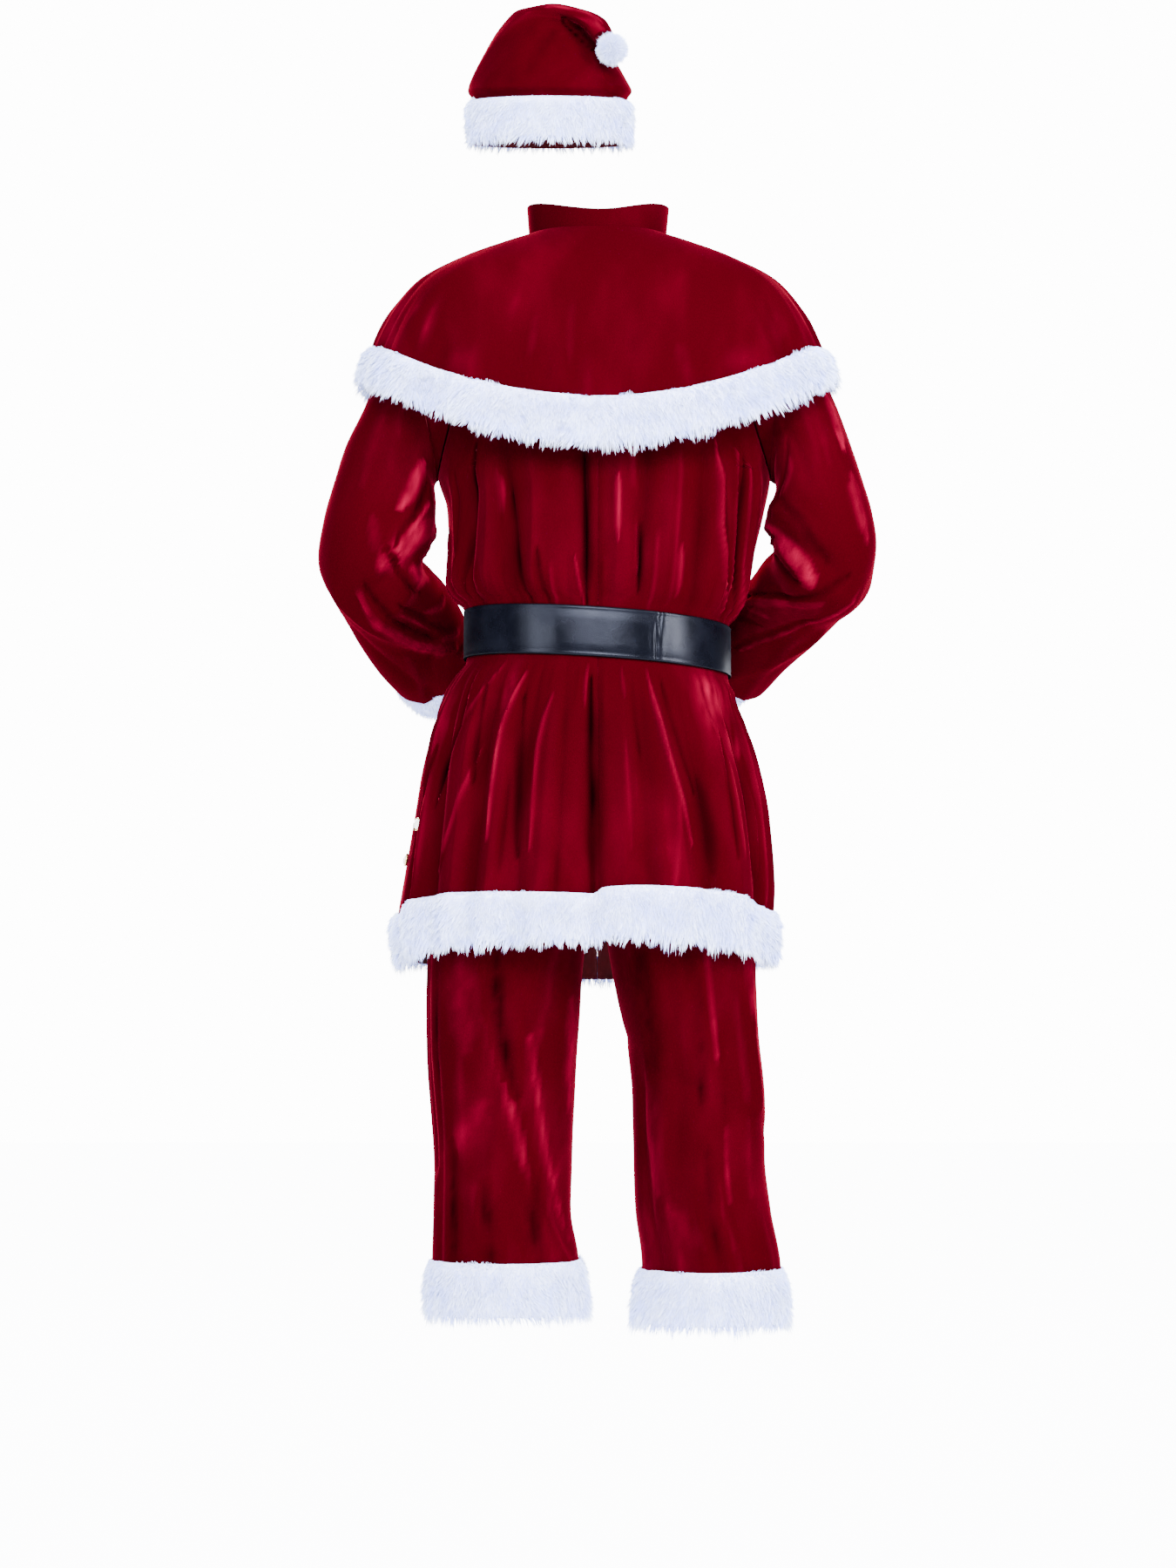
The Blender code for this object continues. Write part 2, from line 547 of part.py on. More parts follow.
def panel_turns(height, side, behind):
    """Turns of a panel's columns at this height, in anticlockwise order."""
    columns = BACK_COLUMNS if behind else FRONT_COLUMNS
    centre = math.degrees(SEAM / 2 / COAT.at(height)["left"])
    limit = armhole_limit(height, behind)
    shares = [i / columns for i in range(columns + 1)]
    turns = [centre + (90 - centre) * t - (90 - limit) * t * t for t in shares]
    if not behind:
        turns = [180 - t for t in turns]
    turns = [side * t for t in turns]
    return turns[::-1] if (side > 0) == behind else turns


def coat_panel(name, side, behind):
    """One of the coat's four panels. It runs from the centre seam to the side seam and round the armhole."""
    outer, inner = [], []
    for height in COAT_ROWS_BELOW + armhole_rows() + COAT_ROWS_ABOVE:
        turns = panel_turns(height, side, behind)
        outer.append([coat_ring(t, height) for t in turns])
        inner.append([p - coat_normal(t, height) * CLOTH for p, t in zip(outer[-1], turns)])
    return cloth_wall(name, outer, inner, "velvet")


def coat_turns(side, back_columns, front_columns):
    """Turns of the panels' columns below the armholes, from the centre back to the centre front."""
    back = between(0, 90, back_columns)
    front = between(90, 180, front_columns)
    ends = math.degrees(SEAM / 2 / 0.17)
    turns = back + front[1:]
    turns[0] += ends
    turns[-1] -= ends
    return [side * t for t in turns]


def fur_strip(name, place, out, alongs, rows, thick, closed, low_bulge=0.75):
    """A strip of fur on a cloth surface. rows go from its top edge to its lower edge; the backing
    lies just off the cloth at those rows, and the pile stands out from it, rounded at both edges."""
    loops = []
    count = len(rows) - 1
    for u in alongs:
        backing = [place(u, v) + out(u, v) * FUR_SEAT for v in rows]
        pile = []
        for share, height in ((1.0, low_bulge * 0.8), (0.86, 1.0), (0.45, 0.96), (0.12, 0.78)):
            at = share * count
            i = min(int(at), count - 1)
            v = rows[i] + (rows[i + 1] - rows[i]) * (at - i)
            pile.append(place(u, v) + out(u, v) * (FUR_SEAT + thick * height))
        loops.append(backing + pile)
    return ring_solid(name, loops, "fur", closed)


def make_coat():
    for label, side in (("left", 1), ("right", -1)):
        coat_panel(f"coat_back_{label}", side, True)
        coat_panel(f"coat_front_{label}", side, False)
        make_sleeve(label, side)
        turns = coat_turns(side, BACK_COLUMNS, FRONT_COLUMNS)
        if side > 0:
            turns = turns[::-1]
        fur_strip(f"hem_fur_{label}", coat_ring, lambda t, h: coat_normal(t, h, False), turns,
                  [HEM_FUR_TOP, HEM_EDGE, HEM_FUR_LOW], FUR_THICK, False)
    make_front_fur()
    make_collar()
    for name, turn, height in (("coat_button_upper", 84.0, 0.846), ("coat_button_lower", 92.0, 0.806)):
        button(name, coat_ring(turn, height), coat_normal(turn, height))


def make_front_fur():
    """The fur down the left front edge, in a length above the belt and one below it."""
    spans = {
        "front_fur_upper": [1.490] + armhole_rows()[::-1][1:] + [1.215, 1.174, 1.134, 1.106],
        "front_fur_lower": [1.014, 0.980, 0.930, 0.870, 0.810, HEM_FUR_TOP + 0.002],
    }
    for name, heights in spans.items():
        loops = []
        for height in heights:
            turns = panel_turns(height, 1, False)[:3]
            backing = [coat_ring(t, height) + coat_normal(t, height) * FUR_SEAT for t in turns]
            places = [turns[2], turns[2] * 0.85 + turns[1] * 0.15, turns[1], turns[0] * 0.8 + turns[1] * 0.2,
                      turns[0]]
            pile = [coat_ring(t, height) + coat_normal(t, height) * (FUR_SEAT + FRONT_FUR_THICK * k)
                    for t, k in zip(places, (0.5, 0.9, 1.0, 0.9, 0.5))]
            loops.append((backing + pile)[::-1])
        ring_solid(name, loops, "fur", False)


def make_collar():
    """A stand collar that rises from the neck seam and is open in front."""
    turns = between(-176, 176, 28)
    outer, inner = [], []
    for k in range(3):
        up = COLLAR_TALL * k / 2
        ring = COAT.at(NECK_EDGE)
        grow = COLLAR_LEAN * k / 2
        row_out, row_in = [], []
        for turn in reversed(turns):
            x, y, out = oval(turn, ring["left"] + grow, ring["right"] + grow, ring["back"] + grow,
                             ring["front"] + grow, ring["square"])
            dip = (0.020 * math.exp(-((turn / 48) ** 2)) + 0.014 * ease((abs(turn) - 130) / 46)) * k / 2
            p = world(x, y, NECK_EDGE + SEAM + up - dip)
            row_out.append(p)
            row_in.append(p - out * CLOTH)
        outer.append(row_out)
        inner.append(row_in)
    cloth_wall("coat_collar", outer, inner, "velvet")


def button(name, seat, out):
    """A round domed button on its seat, one solid turned about its axis."""
    profile = [(0.0, 0.0), (0.55, 0.0), (0.95, 0.18), (1.0, 0.36), (0.80, 0.58), (0.45, 0.70), (0.0, 0.74)]
    up = Vector((0, 0, 1)) if abs(out.z) < 0.9 else Vector((0, 1, 0))
    across = up.cross(out).normalized()
    up = out.cross(across)
    sides = 14
    foot = seat + out * 0.0009
    loops = []
    for r, h in profile[1:-1]:
        loops.append([foot + (across * math.cos(a) + up * math.sin(a)) * r * BUTTON_RADIUS + out * h * BUTTON_RADIUS
                      for a in (2 * math.pi * i / sides for i in range(sides))])
    points = [p for loop in loops for p in loop]
    faces = sheet_faces(len(loops), sides, 0, True, False)
    points += [foot, foot + out * profile[-1][1] * BUTTON_RADIUS]
    low, top = len(points) - 2, len(points) - 1
    last = (len(loops) - 1) * sides
    for i in range(sides):
        k = (i + 1) % sides
        faces += [(k, i, low), (last + i, last + k, top)]
    return add_solid(name, points, faces, "pearl")


# ---------------------------------------------------------------- the sleeves

SLEEVES = {name: Table(SLEEVE_COLUMNS, rows, key=range(len(rows))) for name, rows in SLEEVE_SECTIONS.items()}
SLEEVE_STEP = 0.032  # about the distance between two sections along the sleeve


def sleeve_section(label, along):
    s = SLEEVES[label].at(along)
    outer = Vector((s["outer_x"], s["y"], s["outer_height"]))
    inner = Vector((s["inner_x"], s["y"], s["inner_height"]))
    return (outer + inner) / 2, (outer - inner) / 2, s["deep"]


def sleeve_point(label, angle, along):
    """A point on the sleeve, drawn for the left side: 0 degrees is outwards or up, 90 is behind."""
    centre, out, deep = sleeve_section(label, along)
    ahead = sleeve_section(label, along + 0.3)[0] - sleeve_section(label, along - 0.3)[0]
    behind = out.cross(ahead).normalized() * deep
    if along < 1:  # the sleeve head turns from the armhole's plane
        behind = behind.lerp(Vector((0, deep, 0)), 1 - along)
    c, s = math.cos(math.radians(angle)), math.sin(math.radians(angle))
    if s < 0:  # the crook of the elbow takes up cloth in front
        behind = behind * (1 - CROOK_TUCK * math.exp(-(((along - CROOK_AT) / CROOK_REACH) ** 2)))
    tube = centre + out * c + behind * s
    if along < 1:
        tube = armhole_edge(label, angle).lerp(tube, along)
    return tube


def armhole_edge(label, angle):
    c, s = math.cos(math.radians(angle)), math.sin(math.radians(angle))
    height = ARMHOLE_HEIGHT + (ARMHOLE_TALL - SEAM) * c
    y = (ARMHOLE_DEEP - SEAM) * s
    ring = COAT.at(ARMHOLE_HEIGHT + ARMHOLE_TALL * c)
    share = abs(y) / (ring["back"] if y >= 0 else ring["front"])
    x = ring[label] * (1 - share ** ring["square"]) ** (1 / ring["square"])
    return Vector((x + SEAM, y, height))


def sleeve_ring(label, side, angle, along, creased=True):
    p = sleeve_point(label, angle, along)
    if creased:
        rise = crease_rise(SLEEVE_CREASES[label], along, (angle + 180) % 360 - 180, SLEEVE_STEP,
                           math.radians(1) * 0.065)
        centre = sleeve_section(label, along)[0]
        p = p + (p - centre).normalized() * rise
    return world(side * p.x, p.y, p.z)


def sleeve_normal(label, side, angle, along, creased=True):
    n = normal_of(lambda a, v: sleeve_ring(label, side, a, v, creased), angle, along, 4.0, 0.08)
    middle = sleeve_section(label, along)[0]
    away = sleeve_ring(label, side, angle, along, creased) - world(side * middle.x, middle.y, middle.z)
    return n if n.dot(away) > 0 else -n


def half_sleeve(label, side, behind):
    """The back or the front half of a sleeve, between the seams along its outer and its inner side."""
    half = SLEEVE_SIDES // 2
    first = 0 if behind else 180
    outer, inner = [], []
    for along in SLEEVE_ROWS:
        depth = sleeve_section(label, along)[2]
        gap = math.degrees(SEAM / depth)
        angles = [first + 180 * i / half for i in range(half + 1)]
        angles[0] += gap
        angles[-1] -= gap
        if side > 0:
            angles = angles[::-1]
        row = [sleeve_ring(label, side, a, along) for a in angles]
        outer.append(row)
        inner.append([p - sleeve_normal(label, side, a, along) * CLOTH for p, a in zip(row, angles)])
    cloth_wall(f"sleeve_{'back' if behind else 'front'}_{label}", outer, inner, "velvet")


def make_sleeve(label, side):
    half_sleeve(label, side, True)
    half_sleeve(label, side, False)
    angles = [360 * i / SLEEVE_SIDES for i in range(SLEEVE_SIDES)]
    if side < 0:
        angles = angles[::-1]
    rows = [CUFF_FUR_TOP, SLEEVE_END, 12.7, CUFF_FUR_LOW]
    fur_strip(f"cuff_fur_{label}", lambda a, v: sleeve_ring(label, side, a, v),
              lambda a, v: sleeve_normal(label, side, a, v, False), angles, rows, 0.012, True)


# ---------------------------------------------------------------- the cape

def cape_rows():
    """The cape's sections, the first of them laid against the foot of the collar."""
    neck, away = COAT.at(NECK_EDGE), CLOTH + NECK_EASE
    first = (0.0, neck["left"] + away, neck["back"] + away, neck["front"] + away)
    return [first + CAPE_SECTIONS[0][4:]] + CAPE_SECTIONS[1:]


CAPE = Table(CAPE_COLUMNS, cape_rows())


def cape_ring(turn, along, folded=True):
    s = CAPE.at(along)
    x, y, out = oval(turn, s["wide"], s["wide"], s["back"], s["front"], s["square"])
    c = math.cos(math.radians(turn))
    far = s["back_height"] if c >= 0 else s["front_height"]
    height = s["side_height"] + (far - s["side_height"]) * c * c
    if folded:
        out = out * fold_rise(CAPE_FOLDS, turn, height) * ease(along * 1.6)
        x, y = x + out.x, y + out.y
    return world(x, y, height)


def cape_normal(turn, along, folded=True):
    return normal_of(lambda t, v: cape_ring(t, v, folded), turn, along, 0.8, 0.01)


def make_cape():
    turns = between(180 - CAPE_OPENING, CAPE_OPENING - 180, CAPE_SIDES)
    outer = [[cape_ring(t, v) for t in turns] for v in CAPE_ROWS[::-1]]
    inner = [[p - cape_normal(t, v) * CLOTH for p, t in zip(row, turns)] for row, v in zip(outer, CAPE_ROWS[::-1])]
    cloth_wall("cape", outer, inner, "velvet")
    fur_strip("cape_fur", cape_ring, lambda t, v: cape_normal(t, v, False), turns,
              [CAPE_FUR_TOP, 0.96, CAPE_FUR_LOW], FUR_THICK, False)
    button("cape_button", cape_ring(180 - 3.2 * CAPE_OPENING, 0.10), cape_normal(180 - 3.2 * CAPE_OPENING, 0.10))


# ---------------------------------------------------------------- the belt

def belt_point(turn, up, out):
    """A point on the belt: up is from its middle line, out is from its inner face."""
    ring = COAT.at(BELT_MIDDLE)
    x, y, direction = oval(turn, ring["left"], ring["right"], ring["back"], ring["front"], ring["square"])
    x, y = x + direction.x * (BELT_EASE + out), y + direction.y * (BELT_EASE + out)
    return world(x, y, BELT_MIDDLE + up + BELT_TILT * x)


def make_belt():
    """One strap that starts under the buckle, goes once round and lies over itself past the buckle."""
    lap = BELT_THICK + 0.0005
    start, end = 168.0, 168.0 + 360.0 + 42.0
    loops = []
    for turn in between(start, end, 62):
        over = lap * ease((turn - 500) / 24)
        loops.append([belt_point(turn, u * BELT_WIDTH / 2, over + o)
                      for u, o in ((-1, 0.0), (-1, BELT_THICK), (1, BELT_THICK), (1, 0.0))])
    ring_solid("belt_strap", loops[::-1], "leather", False)
    make_buckle(lap + BELT_THICK)


def buckle_point(x, up, out):
    """A point in front of the strap, out from its face, so that the buckle curves with the belt."""
    ring = COAT.at(BELT_MIDDLE)
    drop = (1 - (abs(x) / ring["left"]) ** ring["square"]) ** (1 / ring["square"])
    return world(x, -ring["front"] * drop - BELT_EASE - out, BELT_MIDDLE + up + BELT_TILT * x)


def make_buckle(strap_face):
    """A square frame in front of the strap, and a prong across it."""
    half_wide, half_tall, bar = BUCKLE_WIDE / 2, BUCKLE_TALL / 2, BUCKLE_BAR
    back = strap_face + SEAM
    front = back + BUCKLE_THICK
    corner = [(-1, -1), (-0.33, -1), (0.33, -1), (1, -1), (1, 1), (0.33, 1), (-0.33, 1), (-1, 1)]
    loops = []
    for across, up in corner:
        x, z = across * half_wide, up * half_tall
        inner_x, inner_z = across * (half_wide - bar), up * (half_tall - bar)
        loops.append([buckle_point(x, z, front), buckle_point(inner_x, inner_z, front),
                      buckle_point(inner_x, inner_z, back), buckle_point(x, z, back)])
    ring_solid("belt_buckle", loops, "metal", True)
    loops = []
    low, high = front + SEAM, front + SEAM + PRONG_THICK
    for share in (-1.0, -0.5, 0.0, 0.5, 1.0):
        x = share * (half_wide - 0.002)
        loops.append([buckle_point(x, up, out) for up, out in (
            (-PRONG_WIDE / 2, high), (PRONG_WIDE / 2, high), (PRONG_WIDE / 2, low), (-PRONG_WIDE / 2, low))])
    ring_solid("belt_prong", loops, "metal", False)


# ---------------------------------------------------------------- the trousers

LEGS = {name: Table(LEG_COLUMNS, rows) for name, rows in LEG_SECTIONS.items()}


def leg_point(label, side, angle, height, creased=True):
    """A point on a leg: 0 degrees is its centre back, 90 its outer side, -90 the inseam."""
    s = LEGS[label].at(height)
    a = math.radians(angle)
    deep = s["back"] if math.cos(a) >= 0 else s["front"]
    x, y = s["centre"] + s["wide"] * math.sin(a), s["y"] + deep * math.cos(a)
    if creased:
        rise = crease_rise(LEG_CREASES[label], height, (angle + 180) % 360 - 180, 1.0, math.radians(1) * 0.085)
        rise *= ease((s["centre"] - 0.03) / 0.05)
        x, y = x + rise * math.sin(a), y + rise * math.cos(a)
    return world(side * x, y, height)


def leg_angles(label, height):
    """Angles of a back panel's columns, from the centre seam or the inseam to the outer seam."""
    s = LEGS[label].at(height)
    gap = math.degrees(SEAM / 2 / s["wide"])
    share = (s["centre"] - SEAM / 2) / s["wide"]
    start = gap - 90 if share >= 1 else -math.degrees(math.asin(share))
    return between(start, 90 - gap, LEG_SIDES)


def waist_point(turn, height, depth):
    """A point inside the coat's waist, depth in from the coat's outer face."""
    return coat_ring(turn, height) - coat_normal(turn, height) * depth


def leg_normal(label, side, angle, height, creased=True):
    n = normal_of(lambda a, h: leg_point(label, side, a, h, creased), angle, height, 3.0, 0.006)
    return -n if side > 0 else n


def leg_panel(label, side, behind):
    outer, inner = [], []
    for height in LEG_ROWS[label]:
        angles = leg_angles(label, height)
        if not behind:
            angles = [180 - t for t in angles]
        flip = (side > 0) == behind
        if flip:
            angles = angles[::-1]
        if height == LEG_ROWS[label][-1]:  # the top edge hangs from the waistband
            below = Vector((0, 0, SEAM))
            outer.append([waist_point(side * t, WAISTBAND_LOW, WAISTBAND_SINK) - below for t in angles])
            inner.append([waist_point(side * t, WAISTBAND_LOW, WAISTBAND_SINK + CLOTH) - below for t in angles])
            continue
        outer.append([leg_point(label, side, t, height) for t in angles])
        row = []
        for p, t in zip(outer[-1], angles):
            q = p - leg_normal(label, side, t, height) * CLOTH
            if side * q.x < SEAM / 2:
                q.x = side * SEAM / 2
            row.append(q)
        inner.append(row)
    where = "back" if behind else "front"
    return cloth_wall(f"trouser_{where}_{label}", outer, inner, "velvet")


def make_trousers():
    for label, side in (("left", 1), ("right", -1)):
        leg_panel(label, side, True)
        leg_panel(label, side, False)
        low = LEG_ROWS[label][0]
        angles = [180 * i / LEG_SIDES - 90 for i in range(2 * LEG_SIDES)]
        if side > 0:
            angles = angles[::-1]
        fur_strip(f"trouser_fur_{label}", lambda a, h: leg_point(label, side, a, h),
                  lambda a, h: leg_normal(label, side, a, h, False), angles,
                  [LEG_FUR_TOP[label], low, LEG_FUR_LOW[label]], 0.014, True)
    make_waistband()


def make_waistband():
    """A soft band inside the coat's waist, pressed against it by the belt."""
    turns = between(0, 360, 4 * LEG_SIDES)[:-1]
    heights = [WAISTBAND_LOW, WAISTBAND_TOP]
    outer = [[waist_point(t, h, WAISTBAND_SINK) for t in turns[::-1]] for h in heights]
    inner = [[waist_point(t, h, WAISTBAND_SINK + WAISTBAND_THICK) for t in turns[::-1]] for h in heights]
    cloth_wall("trouser_waistband", outer, inner, "velvet", closed=True)


# ---------------------------------------------------------------- the hat

HAT = Table(HAT_TIP_COLUMNS, HAT_SECTIONS, key=range(len(HAT_SECTIONS)))
HAT_SIDEWAYS = Vector((0, 0, 1)).cross(HAT_FALLS)


def hat_point(angle, along):
    """A point on the hat: 0 degrees is on the side that the tip falls towards."""
    s = HAT.at(along)
    a = math.radians(angle)
    middle, half = (s["inner"] + s["outer"]) / 2, (s["inner"] - s["outer"]) / 2
    up, half_up = (s["inner_height"] + s["outer_height"]) / 2, (s["inner_height"] - s["outer_height"]) / 2
    flat = HAT_CENTRE + HAT_FALLS * (middle + half * math.cos(a)) + HAT_SIDEWAYS * (s["across"] * math.sin(a))
    height = up + half_up * math.cos(a)
    return hat_lean(flat.x, flat.y, height)


def hat_lean(x, y, height):
    fade = 1 - ease((height - 1.73) / 0.09)
    return world(x, y, height - HAT_LEAN * fade * y)


def hat_normal(angle, along):
    return normal_of(hat_point, angle, along, 4.0, 0.08)


def make_hat():
    angles = [360 * i / HAT_SIDES for i in range(HAT_SIDES)]
    alongs = list(range(len(HAT_SECTIONS)))
    outer = [[hat_point(a, v) for a in angles] for v in alongs]
    inner = [[p - hat_normal(a, v) * CLOTH for p, a in zip(row, angles)] for row, v in zip(outer, alongs)]
    tip = sum(outer[-1], Vector()) / HAT_SIDES
    onward = (tip - sum(outer[-2], Vector()) / HAT_SIDES).normalized()
    inner[-1] = [p - onward * CLOTH for p in inner[-1]]
    cloth_wall("hat_crown", outer, inner, "velvet", closed=True, cap=True)
    fur_strip("hat_fur", hat_point, hat_normal, angles, [2.0, 1.0, HAT_FUR_LOW], HAT_FUR_THICK, True)
    make_pompom(tip + onward * (POMPOM_RADIUS + 0.0006))


def make_pompom(centre):
    points, faces = [centre + Vector((0, 0, -POMPOM_RADIUS))], []
    rings, sides = 7, 14
    for r in range(1, rings):
        polar = math.pi * r / rings - math.pi / 2
        for i in range(sides):
            a = 2 * math.pi * i / sides
            points.append(centre + Vector((math.cos(polar) * math.cos(a), math.cos(polar) * math.sin(a),
                                           math.sin(polar))) * POMPOM_RADIUS)
    points.append(centre + Vector((0, 0, POMPOM_RADIUS)))
    faces = sheet_faces(rings - 1, sides, 1, True, False)
    last = 1 + (rings - 2) * sides
    for i in range(sides):
        k = (i + 1) % sides
        faces += [(1 + k, 1 + i, 0), (last + i, last + k, len(points) - 1)]
    add_solid("hat_pompom", points, faces, "fur")


# ---------------------------------------------------------------- all of it

def clear_scene():
    for obj in list(bpy.data.objects):
        bpy.data.objects.remove(obj)


def make_materials():
    made = {}
    for name, colour in COLOURS.items():
        material = bpy.data.materials.new(name)
        material.use_nodes = True
        shader = material.node_tree.nodes["Principled BSDF"]
        shader.inputs["Base Color"].default_value = colour
        shader.inputs["Roughness"].default_value = ROUGHNESS[name]
        shader.inputs["Metallic"].default_value = 1.0 if name == "metal" else 0.0
        made[name] = material
    return made


clear_scene()
MATERIALS = make_materials()
make_coat()
make_cape()
make_belt()
make_trousers()
make_hat()
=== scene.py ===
import math

import bpy
import numpy as np
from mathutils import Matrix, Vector


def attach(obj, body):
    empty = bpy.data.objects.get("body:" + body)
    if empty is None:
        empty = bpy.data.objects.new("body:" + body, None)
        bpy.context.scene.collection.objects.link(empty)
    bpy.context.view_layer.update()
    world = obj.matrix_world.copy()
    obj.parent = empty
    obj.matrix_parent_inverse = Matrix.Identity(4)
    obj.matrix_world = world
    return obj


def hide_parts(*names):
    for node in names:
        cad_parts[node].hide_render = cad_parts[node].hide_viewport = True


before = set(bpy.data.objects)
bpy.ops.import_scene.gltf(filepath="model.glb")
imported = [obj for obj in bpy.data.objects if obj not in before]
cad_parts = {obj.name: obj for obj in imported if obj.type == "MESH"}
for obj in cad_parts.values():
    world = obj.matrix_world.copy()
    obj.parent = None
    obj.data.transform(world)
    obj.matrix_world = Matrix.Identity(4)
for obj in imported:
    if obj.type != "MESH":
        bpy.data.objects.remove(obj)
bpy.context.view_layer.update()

# Heights are above the floor that the wearer stands on; the origin is at the base of the neck.
# A turn goes round the body in degrees: 0 centre back, 90 the wearer's left, 180 in front.
heldHeight = 1.5
cloth = {"thickness": 0.0018, "gap": 0.0004, "seamDip": 0.0014, "seamWidth": 0.0045}
bothSides = (("left", 1), ("right", -1))


def smoothTable(rows, keys=None):
    # rows of sizes read as smooth curves of their first column, with no overshoot
    keys = np.array([r[0] for r in rows] if keys is None else list(keys), float)
    values = np.array(rows, float)
    steps = np.diff(keys)[:, None]
    secants = np.diff(values, axis=0) / steps
    slopes = np.zeros_like(values)
    slopes[0], slopes[-1] = secants[0], secants[-1]
    before, after = secants[:-1], secants[1:]
    sameWay = before * after > 0
    total = np.where(sameWay, before + after, 1.0)
    slopes[1:-1] = np.where(sameWay, 2 * before * after / total, 0.0)

    def at(key):
        key = np.asarray(key, float)[..., None]
        i = np.clip(np.searchsorted(keys, key[..., 0]) - 1, 0, len(keys) - 2)
        span = (keys[i + 1] - keys[i])[..., None]
        t = (key - keys[i][..., None]) / span
        s = np.clip(t, 0, 1)
        inside = ((2 * s**3 - 3 * s**2 + 1) * values[i] + (s**3 - 2 * s**2 + s) * span * slopes[i]
                  + (3 * s**2 - 2 * s**3) * values[i + 1] + (s**3 - s**2) * span * slopes[i + 1])
        low, high = np.minimum(key - keys[0], 0), np.maximum(key - keys[-1], 0)
        return inside + low * slopes[0] + high * slopes[-1]

    return at


def columnsOf(table, key):
    return np.moveaxis(table(key)[..., 1:], -1, 0)


def ease(t):
    t = np.clip(t, 0, 1)
    return t * t * (3 - 2 * t)


def place(x, y, height):
    x, y, height = np.broadcast_arrays(x, y, height)
    return np.stack((x, y, height - heldHeight), -1)


def sinAndCos(turn):
    return np.sin(np.radians(turn)), np.cos(np.radians(turn))


def wrapped(turn):
    return (turn + 180) % 360 - 180


def oval(turn, left, right, back, front, square):
    # a point on a rounded ring, and the way out there
    s, c = sinAndCos(turn)
    wide, deep = np.where(s >= 0, left, right), np.where(c >= 0, back, front)
    k = (np.abs(s) ** square + np.abs(c) ** square) ** (-1 / square)
    x, y = wide * s * k, deep * c * k
    outX, outY = x / wide**2, y / deep**2
    size = np.hypot(outX, outY)
    return x, y, outX / size, outY / size


def crest(away):
    # a fold across: a soft flank with a narrow crest
    return 0.55 * np.exp(-away**2) + 0.45 * np.exp(-(np.sqrt(away**2 + 0.01) - 0.1) / 0.38)


def rounded(away):
    return np.exp(-away**2)


def flatTopped(away):
    return np.exp(-(away**4))


def line(away):
    return np.exp(-((away / 0.5) ** 2))


def strengthOf(rise, even):
    # a rise in metres from one in millimetres, or one strength for all but the lowest
    return np.tanh(rise / 4.5) if even else rise * 0.001


def foldRise(folds, turn, height, shape=crest, even=False):
    # hanging folds: the turn at the top and at the foot, where they start and end, rise in mm, half width in degrees
    turn, height = np.broadcast_arrays(turn, height)
    rise = np.zeros(turn.shape)
    for turnTop, turnLow, top, low, ridge, spread in folds:
        t = (top - height) / (top - low)
        away = wrapped(turn - (turnTop + (turnLow - turnTop) * t))
        rise += strengthOf(ridge, even) * ease(t / 0.22) * ease((1 - t) / 0.18) * shape(away / spread)
    return rise


def creaseRise(creases, along, angle, alongSize, angleSize, shape=crest, even=False):
    # creases across a tube: place and angle of each end, then rise and half width in mm
    along, angle = np.broadcast_arrays(along * alongSize, angle)
    rise = np.zeros(angle.shape)
    for alongStart, angleStart, alongEnd, angleEnd, ridge, spread in creases:
        dx, dy = (alongEnd - alongStart) * alongSize, (angleEnd - angleStart) * angleSize
        best = np.zeros(angle.shape)
        for whole in (-360, 0, 360):
            px, py = along - alongStart * alongSize, (angle - angleStart + whole) * angleSize
            t = (px * dx + py * dy) / (dx * dx + dy * dy)
            near = np.clip(t, 0, 1)
            off = np.hypot(px - dx * near, py - dy * near) / (spread * 0.001)
            best = np.maximum(best, shape(off) * ease(1.25 - np.abs(t - 0.5)))
        rise += strengthOf(ridge, even) * best
    return rise


def pathMarks(marks, along, angle, alongSize, angleSize, which, shape=crest):
    # bent creases on a tube: (rise in mm, painted shading, half width in mm, places along and round it); which: 0
    # rise, 1 painted shading, a painted highlight above zero and painted shade below
    along, angle = np.broadcast_arrays(along * alongSize, angle)
    total = np.zeros(angle.shape)
    for rise, nap, spread, spots in marks:
        spots = np.array(spots, float) * (alongSize, 1)
        steps = np.hypot(np.diff(spots[:, 0]), np.diff(spots[:, 1]) * angleSize)
        reach = np.concatenate(([0], np.cumsum(steps))) / steps.sum()
        best = np.zeros(angle.shape)
        for i, step in enumerate(steps):
            middle = (spots[i, 1] + spots[i + 1, 1]) / 2
            py = (wrapped(angle - middle) + middle - spots[i, 1]) * angleSize
            px = along - spots[i, 0]
            dx, dy = spots[i + 1, 0] - spots[i, 0], (spots[i + 1, 1] - spots[i, 1]) * angleSize
            near = np.clip((px * dx + py * dy) / step**2, 0, 1)
            share = reach[i] + (reach[i + 1] - reach[i]) * near
            wide = spread * 0.001 * (0.45 + 0.55 * ease(4 * share) * ease(4 - 4 * share))
            best = np.maximum(best, shape(np.hypot(px - dx * near, py - dy * near) / wide))
        total += (rise * 0.001, nap)[which] * best
    return total


def markedPaintedShading(marks, along, angle, alongSize, angleSize, shape):
    # the creases with a painted highlight, cut through by the ones with painted shade
    rubbed, dark = ([m for m in marks if m[1] * sign > 0] for sign in (1, -1))
    low = np.clip(pathMarks(dark, along, angle, alongSize, angleSize, 1, shape), -1, 0)
    return pathMarks(rubbed, along, angle, alongSize, angleSize, 1, shape) * (1 + low) + low


